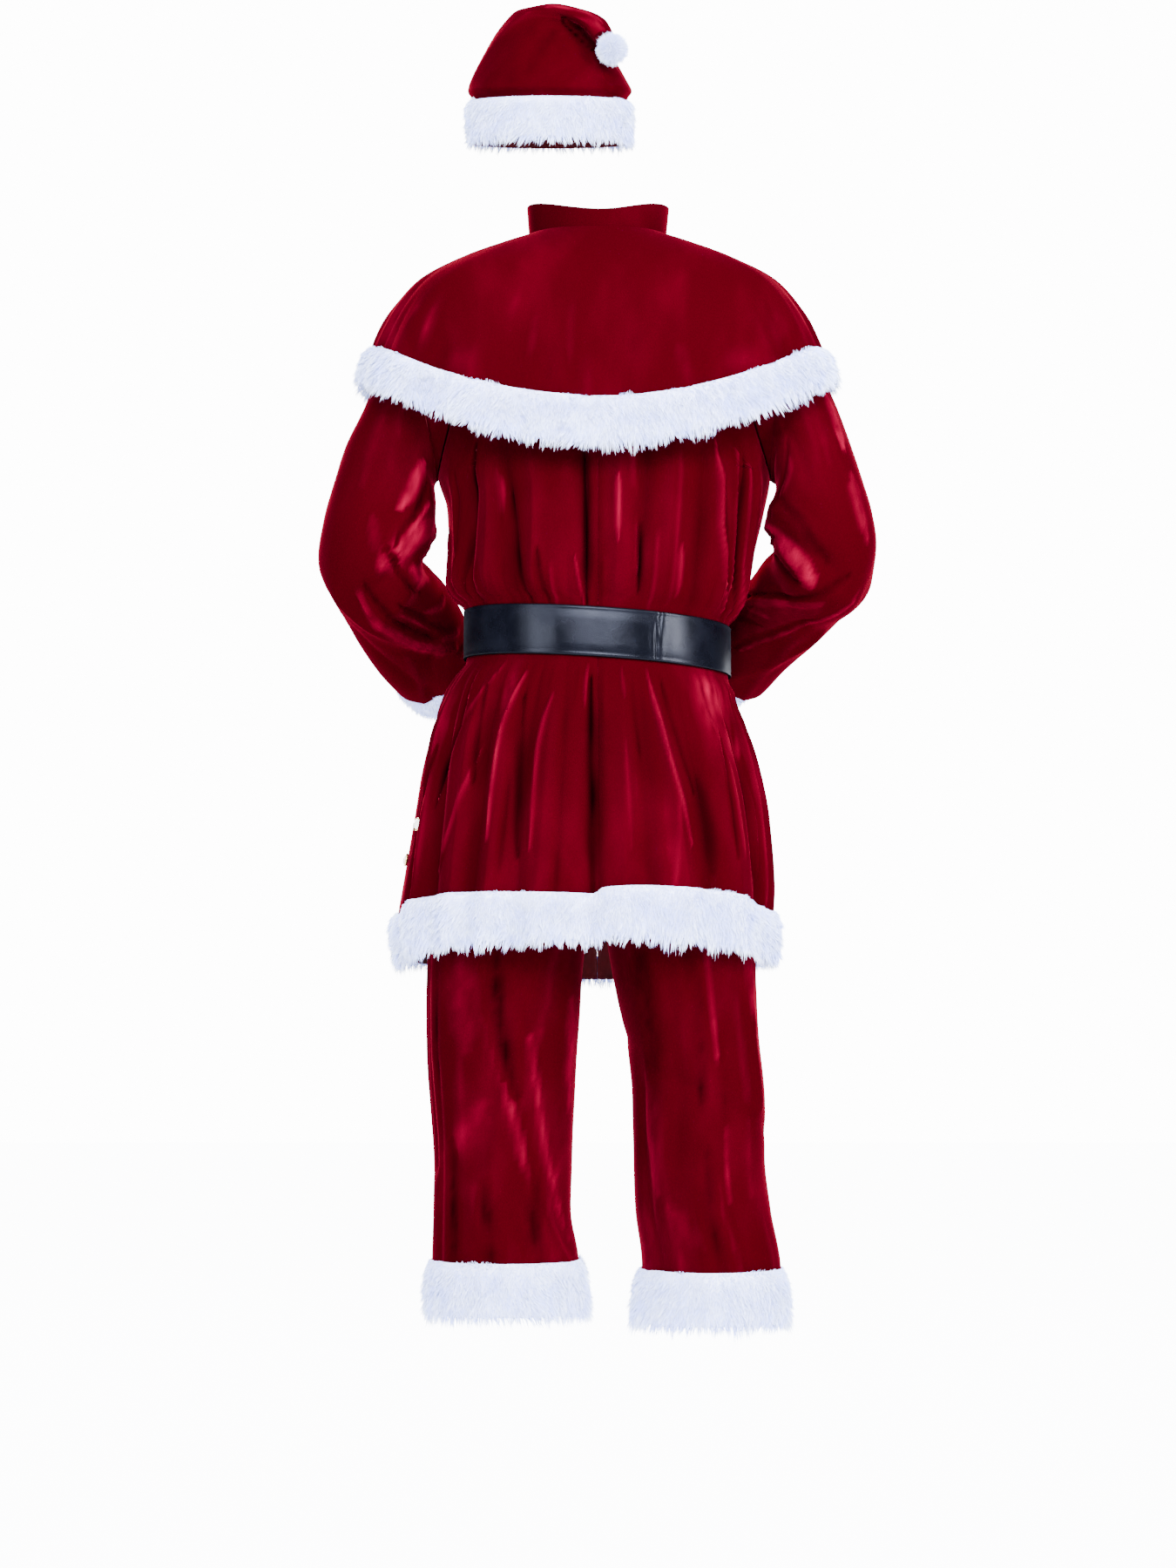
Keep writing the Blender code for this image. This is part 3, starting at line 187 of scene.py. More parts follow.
def softNoise(x, y, z, seed):
    # smooth noise from -1 to 1 on a unit lattice
    def corner(i, j, k):
        n = (i * 73856093) ^ (j * 19349663) ^ (k * 83492791) ^ (seed * 2654435761)
        n = (n ^ (n >> 13)) * 1274126177 & 0xFFFFFFFF
        return ((n ^ (n >> 16)) & 0xFFFF) / 32767.5 - 1

    x, y, z = np.broadcast_arrays(x, y, z)
    cell = [np.floor(c).astype(np.int64) for c in (x, y, z)]
    part = [ease(c - f) for c, f in zip((x, y, z), cell)]
    total = 0
    for i in (0, 1):
        for j in (0, 1):
            for k in (0, 1):
                weight = 1
                for step, t in zip((i, j, k), part):
                    weight = weight * (t if step else 1 - t)
                total = total + weight * corner(cell[0] + i, cell[1] + j, cell[2] + k)
    return total


def handling(points, size, depth, seed):
    # small soft unevenness of cloth that has been worn
    x, y, z = points[..., 0] / size, points[..., 1] / size, points[..., 2] / size
    return depth * (softNoise(x, y, z * 0.6, seed) + 0.5 * softNoise(2.1 * x, 2.1 * y, 1.3 * z, seed + 1))


# how the painted highlights and shade of the velvet break up: middle, depth, size across and size up
paintedShadingBreakup = {"patches": (0.80, 0.6, 0.013, 0.024), "specks": (0.9, 0.5, 0.005, 0.012),
        "coatPatches": (0.75, 0.5, 0.02, 0.045), "coatStreaks": (0.75, 0.6, 0.006, 0.05)}


# noise that breaks the painted highlights and shade up
def paintedShadingNoise(points, kind, seed):
    middle, depth, size, tall = paintedShadingBreakup[kind]
    return middle + depth * softNoise(points[..., 0] / size, points[..., 1] / size, points[..., 2] / tall, seed)


def roughened(points, out, sizes, seed, calm):
    return points + out * (handling(points, sizes["unevenSize"], sizes["uneven"], seed) * calm)[..., None]


def unit(vectors):
    return vectors / np.maximum(np.linalg.norm(vectors, axis=-1, keepdims=True), 1e-12)


def normalsOf(surface, u, v, du, dv):
    return unit(np.cross(surface(u + du, v) - surface(u - du, v), surface(u, v + dv) - surface(u, v - dv)))


def outwardSign(points, normals):
    return 1 if (points * (1, 1, 0) * normals).sum() > 0 else -1


def gridFaces(rows, columns, closed):
    r, c = np.meshgrid(np.arange(rows - 1), np.arange(columns if closed else columns - 1), indexing="ij")
    n, wide = (c + 1) % columns, columns + 1
    quads = np.stack((r * columns + c, r * columns + n, (r + 1) * columns + n, (r + 1) * columns + c), -1)
    corners = np.stack((r * wide + c, r * wide + c + 1, (r + 1) * wide + c + 1, (r + 1) * wide + c), -1)
    return quads.reshape(-1, 4), corners.reshape(-1, 4)


def endedFaces(rows, columns):
    # closed rings joined into a skin, with one more point at each end
    low, top = rows * columns, (rows - 1) * columns
    faces = gridFaces(rows, columns, True)[0].tolist()
    faces += [[(i + 1) % columns, i, low] for i in range(columns)]
    return faces + [[top + i, top + (i + 1) % columns, low + 1] for i in range(columns)]


def flatMap(points, closed):
    # how far each point lies along and up the cloth, in metres
    around = np.concatenate((points, points[:, :1] if closed else points[:, -1:]), 1)
    across = np.linalg.norm(np.diff(around, axis=1), axis=-1)
    u = np.concatenate((np.zeros((len(points), 1)), np.cumsum(across, 1)), 1)
    up = np.linalg.norm(np.diff(around, axis=0), axis=-1).mean(1)
    v = np.concatenate(([0], np.cumsum(up)))[:, None] + 0 * u
    return np.stack((u - u[:, -1:] / 2, v), -1).reshape(-1, 2)


def addValues(mesh, name, values, kind="FLOAT"):
    layer = mesh.attributes.new(name, kind, "POINT")
    layer.data.foreach_set("value" if kind == "FLOAT" else "vector", np.asarray(values, np.float32).ravel())


def addMesh(name, points, faces, materials, uv=None, which=None):
    mesh = bpy.data.meshes.new(name)
    mesh.from_pydata(np.asarray(points).reshape(-1, 3).tolist(), [], [list(map(int, f)) for f in faces])
    for material in materials:
        mesh.materials.append(material)
    if uv is not None:
        layer = mesh.uv_layers.new(name="flatCloth")
        layer.data.foreach_set("uv", np.asarray(uv, np.float32).ravel())
    if which is not None:
        mesh.polygons.foreach_set("material_index", np.asarray(which, np.int32))
    mesh.shade_smooth()
    mesh.set_sharp_from_angle(angle=math.radians(60))
    piece = bpy.data.objects.new(name, mesh)
    bpy.context.scene.collection.objects.link(piece)
    return piece


def finishPiece(piece, *nodes, slot="velvet"):
    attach(piece, "root")
    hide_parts(*nodes)
    return piece


def clothShell(name, nodes, outer, inner, closed=False, cap=False, nap=None):
    # a thin wall: the outer face, the inner face with the cloth's reverse, and the edges between them
    rows, columns = outer.shape[:2]
    quads, corners = gridFaces(rows, columns, closed)
    a, b, c = (outer.reshape(-1, 3)[quads[:, i]] for i in range(3))
    facing = (np.cross(b - a, c - a) * (outer - inner).reshape(-1, 3)[quads[:, 0]]).sum()
    if facing < 0:
        quads, corners = quads[:, ::-1], corners[:, ::-1]
    faces, uvAt = quads.tolist(), corners.tolist()
    uv = flatMap(outer, closed)
    points, insides = list(outer.reshape(-1, 3)), list(inner.reshape(-1, 3))
    if cap:
        low = (rows - 1) * columns
        ring = list(range(low, low + columns))
        points.append(outer[-1].mean(0))
        insides.append(inner[-1].mean(0))
        for i in range(columns):
            fan = [ring[i], ring[(i + 1) % columns], rows * columns]
            faces.append(fan if facing >= 0 else fan[::-1])
            uvAt.append([len(uv) - 1] * 3)
    second = len(points)
    directed = {(f[i], f[(i + 1) % len(f)]): (w[i], w[(i + 1) % len(f)])
                for f, w in zip(faces, uvAt) for i in range(len(f))}
    rims = [((q, p, p + second, q + second), (wq, wp, wp, wq))
            for (p, q), (wp, wq) in directed.items() if (q, p) not in directed]
    back = [[i + second for i in f[::-1]] for f in faces]
    backUv = [w[::-1] for w in uvAt]
    which = [0] * len(faces) + [1] * len(back) + [0] * len(rims)
    allFaces = faces + back + [list(r[0]) for r in rims]
    allUv = uvAt + backUv + [list(r[1]) for r in rims]
    uvLoops = uv[np.array([i for w in allUv for i in w])]
    piece = addMesh(name, np.array(points + insides), allFaces, velvetPair, uvLoops, which)
    # painted highlight above zero and painted shade below, for the velvet's colour on the outer face
    if nap is not None:
        values = np.zeros(len(points + insides), np.float32)
        values[:nap.size] = np.clip(nap, -1, 1).ravel()
        addValues(piece.data, "nap", values)
    return finishPiece(piece, *nodes)


def sweep(name, loops, closed, materials):
    # section loops joined into a ring, or ended flat, facing out
    count, size = loops.shape[:2]
    faces = []
    for i in range(count if closed else count - 1):
        a, b = i * size, ((i + 1) % count) * size
        faces += [[a + j, a + (j + 1) % size, b + (j + 1) % size, b + j] for j in range(size)]
    if not closed:
        faces += [list(range(size))[::-1], [(count - 1) * size + j for j in range(size)]]
    points = loops.reshape(-1, 3)
    volume = 0
    for f in faces:
        p = points[f]
        for i in range(1, len(f) - 1):
            volume += np.dot(p[0], np.cross(p[i], p[i + 1]))
    if volume < 0:
        faces = [f[::-1] for f in faces]
    return addMesh(name, points, faces, materials)


# shared effects for the materials

def setSockets(node, sockets):
    # each socket gets its value, or a link from another node's output
    for name, value in sockets.items():
        if isinstance(value, bpy.types.NodeSocket):
            node.id_data.links.new(value, node.inputs[name])
        else:
            node.inputs[name].default_value = value


def nodeMaker(tree):
    # adds a node with its settings, then the values and links of its sockets
    def new(kind, sockets=None, **settings):
        node = tree.nodes.new(kind)
        for name, value in settings.items():
            setattr(node, name, value)
        setSockets(node, sockets or {})
        return node

    return new


def makeGroup(name, kind, given, put):
    # an empty node group; its sockets are in rows: a kind, then names with their values
    tree = bpy.data.node_groups.new(name, kind)
    for way, rows in (("INPUT", given), ("OUTPUT", put)):
        for socketKind, sockets in rows:
            for label, value in sockets.items():
                socket = tree.interface.new_socket(label, in_out=way, socket_type="NodeSocket" + socketKind)
                if value is not None:
                    socket.default_value = value
    new = nodeMaker(tree)
    return tree, new, new("NodeGroupInput").outputs


def makeMottle():
    # two tones in soft patches, and the mask between them
    tree, new, given = makeGroup("toneMottle", "ShaderNodeTree", (
        ("Vector", {"Vector": None}), ("Float", {"Scale": 10.0, "Detail": 3.0, "Low": 0.35, "High": 0.65}),
        ("Color", {"Dark": None, "Light": None})), (("Color", {"Color": None}), ("Float", {"Mask": None})))
    patches = new("ShaderNodeTexNoise", {name: given[name] for name in ("Vector", "Scale", "Detail")})
    mask = new("ShaderNodeMapRange", {"Value": patches.outputs["Fac"], "From Min": given["Low"],
                                      "From Max": given["High"]}, interpolation_type="SMOOTHSTEP").outputs["Result"]
    blend = new("ShaderNodeMix", {"Factor": mask, 6: given["Dark"], 7: given["Light"]}, data_type="RGBA")
    new("NodeGroupOutput", {"Color": blend.outputs[2], "Mask": mask})
    return tree


def makeGrain():
    # fine relief with a broad one under it, as a height
    tree, new, given = makeGroup("surfaceGrain", "ShaderNodeTree", (
        ("Vector", {"Vector": None}), ("Float", {"Fine Scale": 900.0, "Broad Scale": 30.0, "Broad Share": 0.5})),
        (("Float", {"Height": None}),))
    fine, broad = (new("ShaderNodeTexNoise", {"Vector": given["Vector"], "Scale": given[size + " Scale"],
                                              "Detail": 2.0}).outputs["Fac"] for size in ("Fine", "Broad"))
    blend = new("ShaderNodeMix", {"Factor": given["Broad Share"], 2: fine, 3: broad})
    new("NodeGroupOutput", {"Height": blend.outputs[0]})
    return tree


mottle, grain = makeMottle(), makeGrain()
plainFinish = {"space": "Object", "stretch": (1.0, 1.0, 1.0), "range": (0.3, 0.7), "broadShare": 0.5, "metallic": 0.0,
               "tint": (1.0, 1.0, 1.0, 1.0), "sheen": (0.0, 0.5, (1.0, 1.0, 1.0, 1.0)), "coat": (0.0, 0.1)}
finishes = {
    "velvet": {"space": "UV", "stretch": (1.0, 0.45, 1.0), "dark": (0.0165, 0.00004, 0.00095),
               "light": (0.0255, 0.00008, 0.0017), "patch": 12.0, "range": (0.42, 0.75), "roughness": (0.66, 0.52),
               "fine": 800.0, "broad": 40.0, "broadShare": 0.35, "bump": 0.22, "distance": 0.0014, "metallic": 0.06,
               "sheen": (0.11, 0.30, (1.0, 0.03, 0.11, 1.0)), "tint": (1.0, 0.05, 0.14, 1.0), "specular": 0.0,
               # painted colours: shade in the hollows of the folds, highlight on their ridges
               "hollow": (0.0014, 0.0, 0.0001), "ridge": (0.122, 0.0005, 0.0122)},
    "velvetReverse": {"space": "UV", "dark": (0.030, 0.0006, 0.0024), "light": (0.052, 0.0009, 0.0036),
                      "patch": 30.0, "roughness": (0.85, 0.95), "fine": 1500.0, "broad": 250.0, "broadShare": 0.4,
                      "bump": 0.3, "distance": 0.0006, "specular": 0.15},
    "furBacking": {"dark": (0.42, 0.47, 0.72), "light": (0.60, 0.65, 0.88), "patch": 60.0, "roughness": (0.85, 0.95),
                   "fine": 900.0, "broad": 120.0, "bump": 0.6, "distance": 0.002, "specular": 0.2,
                   "sheen": (0.4, 0.5, (0.9, 0.92, 1.0, 1.0))},
    # root: painted shade towards the foot of each strand
    "furStrand": {"tone": "strandTone", "toneShare": 0.25, "root": (0.25, 0.31, 0.68), "dark": (0.48, 0.57, 1.0),
                  "light": (0.72, 0.80, 1.0), "patch": 45.0, "range": (0.30, 0.62), "roughness": (0.55, 0.7),
                  "fine": 1200.0, "broad": 200.0, "bump": 0.1, "distance": 0.0005, "specular": 0.35,
                  "sheen": (0.5, 0.5, (0.92, 0.94, 1.0, 1.0))},
    "beltLeather": {"dark": (0.0007, 0.0008, 0.0017), "light": (0.0017, 0.0019, 0.0036), "patch": 22.0,
                    "range": (0.35, 0.75), "roughness": (0.22, 0.36), "fine": 900.0, "broad": 90.0, "broadShare": 0.35,
                    "bump": 0.22, "distance": 0.0007, "specular": 0.070, "tint": (0.75, 0.80, 1.0, 1.0), "matt": 0.5},
    "beltEdge": {"dark": (0.0006, 0.0006, 0.0010), "light": (0.0014, 0.0014, 0.0022), "patch": 60.0,
                 "range": (0.35, 0.75), "roughness": (0.80, 0.92), "fine": 1400.0, "broad": 200.0, "bump": 0.35,
                 "distance": 0.0005, "specular": 0.0},
    "goldMetal": {"dark": (0.62, 0.42, 0.14), "light": (0.90, 0.68, 0.30), "patch": 40.0, "roughness": (0.18, 0.34),
                  "fine": 2500.0, "broad": 300.0, "broadShare": 0.3, "bump": 0.08, "distance": 0.0003,
                  "metallic": 1.0, "specular": 0.5},
    "pearl": {"dark": (0.74, 0.70, 0.60), "light": (0.95, 0.92, 0.86), "patch": 180.0, "roughness": (0.12, 0.24),
              "fine": 2000.0, "broad": 400.0, "bump": 0.05, "distance": 0.0003, "specular": 0.6, "coat": (0.6, 0.08)},
}


def makeFinish(name):
    look = {**plainFinish, **finishes[name]}
    material = bpy.data.materials.new(name)
    material.use_nodes = True
    tree = material.node_tree
    shader, new = tree.nodes["Principled BSDF"], nodeMaker(tree)
    where = new("ShaderNodeTexCoord").outputs[look["space"]]
    turned = new("ShaderNodeMapping", {"Vector": where, "Scale": look["stretch"]}).outputs["Vector"]
    tones = new("ShaderNodeGroup", {"Vector": turned, "Scale": look["patch"], "Low": look["range"][0],
                                    "High": look["range"][1], "Dark": (*look["dark"], 1.0),
                                    "Light": (*look["light"], 1.0)}, node_tree=mottle).outputs
    relief = new("ShaderNodeGroup", {"Vector": turned, "Fine Scale": look["fine"], "Broad Scale": look["broad"],
                                     "Broad Share": look["broadShare"]}, node_tree=grain).outputs["Height"]
    bump = new("ShaderNodeBump", {"Height": relief, "Strength": look["bump"], "Distance": look["distance"]})
    rough = new("ShaderNodeMapRange", {"Value": tones["Mask"], "To Min": look["roughness"][0],
                                       "To Max": look["roughness"][1]}).outputs["Result"]
    tone = tones["Color"]

    def attribute(label):
        return new("ShaderNodeAttribute", attribute_name=label).outputs["Fac"]

    if "tone" in look:  # painted shade darkens each strand towards its root, and each has a tone of its own
        ramp = new("ShaderNodeMath", {0: attribute(look["tone"]), 1: look["toneShare"], 2: attribute("strandRise")},
                   operation="MULTIPLY_ADD", use_clamp=True)
        tone = new("ShaderNodeMix", {"Factor": ramp.outputs[0], 6: (*look["root"], 1.0), 7: tone},
                   data_type="RGBA").outputs[2]
    if "ridge" in look:  # painted highlight on the ridges of the folds and painted shade in their hollows
        for colour, share in (("hollow", -1.0), ("ridge", 1.0)):
            part = new("ShaderNodeMath", {0: attribute("nap"), 1: share}, operation="MULTIPLY", use_clamp=True)
            tone = new("ShaderNodeMix", {"Factor": part.outputs[0], 6: tone, 7: (*look[colour], 1.0)},
                       data_type="RGBA").outputs[2]
    if "matt" in look:  # the sleeves rub the leather matt at the sides
        rough = new("ShaderNodeMath", {0: attribute("rubbed"), 1: look["matt"], 2: rough},
                    operation="MULTIPLY_ADD").outputs[0]
    setSockets(shader, {
        "Base Color": tone, "Roughness": rough, "Normal": bump.outputs["Normal"], "Metallic": look["metallic"],
        "Specular IOR Level": look["specular"], "Specular Tint": look["tint"],
        **dict(zip(("Sheen Weight", "Sheen Roughness", "Sheen Tint"), look["sheen"])),
        **dict(zip(("Coat Weight", "Coat Roughness"), look["coat"]))})
    return material


finish = {name: makeFinish(name) for name in finishes}
velvetPair = [finish["velvet"], finish["velvetReverse"]]
print("materials ready")


# fur: a soft backing with strands that stand on it

def makeFurTree():
    tree, new, given = makeGroup("furPile", "GeometryNodeTree", (
        ("Geometry", {"Geometry": None}),
        ("Float", {"Strands Per Area": 300000.0, "Strand Length": 0.012, "Strand Width": 0.0011,
                   "Tuft Scale": 140.0, "Tuft Gather": 0.8, "Swirl": 0.5, "Mess": 0.2}),
        ("Int", {"Seed": None}), ("Material", {"Material": None})), (("Geometry", {"Geometry": None}),))

    def attribute(name, kind):
        return new("GeometryNodeInputNamedAttribute", {"Name": name}, data_type=kind).outputs["Attribute"]

    def number(kind, a, b):
        return new("ShaderNodeMath", {0: a, 1: b}, operation=kind).outputs[0]

    def vector(kind, a, b):
        return new("ShaderNodeVectorMath", {0: a, "Scale" if kind == "SCALE" else 1: b}, operation=kind).outputs[0]

    def randomFrom(low, high, seed):
        at = number("ADD", given["Seed"], seed)
        if isinstance(low, tuple):
            return new("FunctionNodeRandomValue", {0: low, 1: high, "Seed": at}, data_type="FLOAT_VECTOR").outputs[0]
        return new("FunctionNodeRandomValue", {2: low, 3: high, "Seed": at}).outputs[1]

    here = new("GeometryNodeInputPosition").outputs[0]
    # each cell is a tuft; its strands lean in to one point, and its middle stands out past its edge
    tuft = new("ShaderNodeTexVoronoi", {"Scale": given["Tuft Scale"]}).outputs
    inward = vector("SCALE", vector("SUBTRACT", tuft["Position"], here),
                    number("DIVIDE", given["Tuft Gather"], given["Strand Length"]))
    clump = new("ShaderNodeMapRange", {"Value": tuft["Distance"], "From Min": 0.1, "From Max": 0.7, "To Min": 1.2,
                                       "To Max": 0.72}).outputs["Result"]
    swirl = new("ShaderNodeTexNoise", {"Scale": number("MULTIPLY", given["Tuft Scale"], 0.35), "Detail": 1.0})
    lean = vector("SCALE", vector("SUBTRACT", swirl.outputs["Color"], (0.5, 0.5, 0.5)), given["Swirl"])
    mess = vector("SCALE", randomFrom((-1.0, -1.0, -1.0), (1.0, 1.0, 1.0), 1.0), given["Mess"])
    way = vector("ADD", vector("ADD", attribute("comb", "FLOAT_VECTOR"), lean), mess)
    turned = new("FunctionNodeAlignRotationToVector", {"Vector": vector("ADD", way, inward)}, axis="Z").outputs[0]
    width = randomFrom(0.6, 1.5, 2.0)
    length = number("MULTIPLY", number("MULTIPLY", attribute("pile", "FLOAT"), clump), randomFrom(0.7, 1.05, 3.0))
    size = new("ShaderNodeCombineXYZ", {0: width, 1: width, 2: length}).outputs[0]

    # one strand, which knows how far up it each point lies
    store = "GeometryNodeStoreNamedAttribute"
    strand = new("GeometryNodeMeshCone", {"Vertices": 3, "Radius Top": 0.0, "Depth": given["Strand Length"],
                                          "Radius Bottom": number("MULTIPLY", given["Strand Width"], 0.5)})
    share = number("DIVIDE", new("ShaderNodeSeparateXYZ", {0: here}).outputs[2], given["Strand Length"])
    strand = new(store, {"Geometry": strand.outputs["Mesh"], "Name": "strandRise", "Value": share}, data_type="FLOAT")

    density = number("MULTIPLY", given["Strands Per Area"], attribute("hairy", "FLOAT"))
    spots = new("GeometryNodeDistributePointsOnFaces", {"Mesh": given["Geometry"], "Density": density,
                                                        "Seed": given["Seed"]}).outputs["Points"]
    strands = new("GeometryNodeInstanceOnPoints", {"Points": spots, "Instance": strand.outputs[0], "Rotation": turned,
                                                   "Scale": size}).outputs[0]
    strands = new(store, {"Geometry": strands, "Name": "strandTone", "Value": randomFrom(0.0, 1.0, 4.0)},
                  domain="INSTANCE", data_type="FLOAT").outputs[0]
    strands = new("GeometryNodeRealizeInstances", {0: strands}).outputs[0]
    strands = new("GeometryNodeSetMaterial", {"Geometry": strands, "Material": given["Material"]}).outputs[0]
    both = new("GeometryNodeJoinGeometry", {0: given["Geometry"]})
    setSockets(both, {0: strands})
    new("NodeGroupOutput", {0: both.outputs[0]})
    return tree


furTree = makeFurTree()
fur = {"seat": 0.0010, "skinShare": 0.42, "lumps": 0.0016, "lumpSize": 0.016, "strandsPerArea": 300000.0,
       "strandLength": 0.0150, "strandWidth": 0.0012, "tuftScale": 135.0, "gather": 0.75, "swirl": 0.9, "mess": 0.16,
       "partSize": 0.030, "part": 0.55, "raggedSize": 0.011, "ragged": 0.26, "raisedSize": 0.030, "raised": 3.0}


# from a trim's top edge to its lower one: how far the skin stands out, how the strands lean, how long they are
furProfiles = {"rise": ((0, 0.05, 0.2, 0.6, 0.9, 1.0), (0.10, 0.62, 0.92, 1.0, 0.92, 0.6)),
               "lean": ((0, 0.08, 0.5, 0.9, 1.0), (0.15, 1.1, 1.4, 2.2, 3.6)),
               "length": ((0, 0.06, 0.25, 0.8, 1.0), (0.30, 0.50, 1.0, 1.2, 1.45))}


def growFur(piece, comb, pile, hairy, seed, **changes):
    # the strands are made here and become the piece's own mesh
    sizes = {**fur, **changes}
    for name, kind, values in (("comb", "FLOAT_VECTOR", comb), ("pile", "FLOAT", pile), ("hairy", "FLOAT", hairy)):
        addValues(piece.data, name, values, kind)
    modifier = piece.modifiers.new("pile", "NODES")
    modifier.node_group = furTree
    given = {"Strands Per Area": sizes["strandsPerArea"], "Strand Length": sizes["strandLength"],
             "Strand Width": sizes["strandWidth"], "Tuft Scale": sizes["tuftScale"], "Tuft Gather": sizes["gather"],
             "Swirl": sizes["swirl"], "Mess": sizes["mess"], "Seed": seed, "Material": finish["furStrand"]}
    for socket in furTree.interface.items_tree:
        if socket.in_out == "INPUT" and socket.name in given:
            modifier[socket.identifier] = given[socket.name]
    shown = piece.evaluated_get(bpy.context.evaluated_depsgraph_get())
    plain = bpy.data.meshes.new_from_object(shown)
    piece.modifiers.clear()
    piece.data = plain
    for name in ("comb", "pile", "hairy"):
        if name in plain.attributes:
            plain.attributes.remove(plain.attributes[name])


def furTrim(name, node, surface, out, around, edges, thick, closed, seed, fringe=0.008, count=12, **changes):
    # a fur strip laid on a cloth surface, from its top edge to its lower edge
    sizes = {**fur, **changes}
    around = np.asarray(around, float)[:, None]
    share = np.concatenate((np.linspace(0, 1, count) ** 0.9, [1.0]))
    top, low = (np.broadcast_to(np.asarray(e, float), around[:, 0].shape) for e in edges)
    step = (low - top)[:, None]

    def wayDown(v):
        return unit(surface(around, v + step * 0.02) - surface(around, v - step * 0.02))

    v = top[:, None] + step * share
    skin, away = surface(around, v), out(around, v)
    down = wayDown(v)
    length = np.linalg.norm(surface(around, v[:, -1:]) - surface(around, v[:, :1]), axis=-1).mean()
    skin = skin - down * (share * fringe)[None, :, None]
    rise = np.interp(share, *furProfiles["rise"]) * thick
    rise[0], rise[-1] = 0.0, 0.0
    lump = handling(skin, fur["lumpSize"], fur["lumps"], seed) * np.minimum(1, rise / (0.3 * thick))
    outer = skin + away * (fur["seat"] + rise[:, None] * fur["skinShare"] + lump[..., None])
    backShare = np.linspace(1, 0, 4)[1:-1]
    vb = top[:, None] + step * backShare
    back = surface(around, vb) + out(around, vb) * fur["seat"] - wayDown(vb) * (backShare * fringe)[None, :, None]
    loops = np.concatenate((outer, back), 1)
    piece = sweep(name, loops, closed, [finish["furBacking"], finish["furStrand"]])
    lean = np.interp(share, *furProfiles["lean"])
    parted = np.cross(away, down) * handling(skin, fur["partSize"], fur["part"], seed + 40)[..., None]
    tufts = np.clip(handling(skin, fur["raisedSize"], 1.0, seed + 70) - 0.15, 0, 0.8) * ease((0.1 - share) / 0.1)
    comb = unit(away + (down + parted) * (lean - fur["raised"] * tufts)[..., None])
    comb = np.concatenate((comb, comb[:, :len(backShare)]), 1)
    shortest = (thick * (1 - fur["skinShare"])) / fur["strandLength"]
    pile = np.interp(share, *furProfiles["length"]) * min(1.2, 1.4 * shortest)
    ragged = handling(skin, sizes["raggedSize"], sizes["ragged"], seed + 60) * ease((share - 0.5) / 0.4)
    pile = np.concatenate((pile * (1 + ragged + 1.3 * tufts), np.zeros((len(skin), len(backShare)))), 1)
    hairy = np.concatenate((np.ones(len(share)), np.zeros(len(backShare))))
    hairy[-len(backShare) - 1] = 1.0
    growFur(piece, comb, pile, np.tile(hairy, len(loops)), seed, **changes)
    print(name, len(piece.data.polygons), "faces", round(length * 1000), "mm wide")
    return finishPiece(piece, node, slot="fur")


# the coat

coat = {"backColumns": 140, "frontColumns": 80, "rows": ((0.690, 1.012, 42), (1.024, 1.096, 6), (1.104, 1.250, 20)),
        "holeTop": 1.4775, "neckRows": 8, "furTop": 0.752, "furLow": 0.676, "waist": 1.060, "neckEdge": 1.540,
        "armholeHeight": 1.365, "armholeTall": 0.108, "armholeDeep": 0.075, "armholeSteps": 24, "unevenSize": 0.05,
        "uneven": 0.0007}
# the metres that one step of height and one degree round the coat stand for
coatSpans = 1.0, 0.0030
# height, left, right, back, front, back rise, front rise, tilt, squareness
coatSections = smoothTable([
    (0.66, 0.221, 0.1975, 0.165, 0.183, 0.018, -0.02, 0, 2.2),
    (0.69, 0.2275, 0.2, 0.166, 0.184, 0.018, -0.02, 0, 2.2),
    (0.735, 0.232, 0.2025, 0.164, 0.181, 0.015, -0.018, 0, 2.2),
    (0.77, 0.227, 0.204, 0.162, 0.178, 0.014, -0.016, 0, 2.2),
    (0.85, 0.214, 0.1985, 0.154, 0.169, 0.009, -0.01, 0, 2.2),
    (0.94, 0.1985, 0.18, 0.143, 0.156, 0.003, -0.003, 0.02, 2.2),
    (0.99, 0.18, 0.1655, 0.131, 0.143, 0, 0, 0.05, 2.15), (1.014, 0.164, 0.16, 0.123, 0.1345, 0, 0, 0.066, 2.15),
    (1.03, 0.1535, 0.1525, 0.116, 0.128, 0, 0, 0.066, 2.15), (1.06, 0.1535, 0.1525, 0.116, 0.128, 0, 0, 0.066, 2.15),
    (1.09, 0.1535, 0.1525, 0.116, 0.128, 0, 0, 0.066, 2.15), (1.104, 0.1715, 0.164, 0.1235, 0.135, 0, 0, 0.066, 2.15),
    (1.125, 0.179, 0.1745, 0.13, 0.14, 0, 0, 0.045, 2.15), (1.17, 0.1767, 0.1855, 0.1345, 0.144, 0, 0, 0.01, 2.2),
    (1.22, 0.1785, 0.1975, 0.136, 0.144, 0, 0, 0, 2.2), (1.257, 0.189, 0.204, 0.135, 0.142, 0, 0, 0, 2.2),
    (1.32, 0.1935, 0.2045, 0.131, 0.136, 0, 0, 0, 2.2), (1.39, 0.196, 0.201, 0.123, 0.124, 0, 0, 0, 2.2),
    (1.44, 0.196, 0.198, 0.112, 0.109, 0, 0, 0, 2.2), (1.473, 0.188, 0.189, 0.101, 0.094, 0, 0, 0, 2.2),
    (1.492, 0.16, 0.161, 0.092, 0.083, 0, 0, 0, 2.15), (1.512, 0.122, 0.122, 0.082, 0.073, 0, 0, 0, 2.1),
    (1.528, 0.09, 0.09, 0.074, 0.066, 0, 0, 0, 2.05), (1.56, 0.07, 0.07, 0.066, 0.06, 0, 0, 0, 2),
])
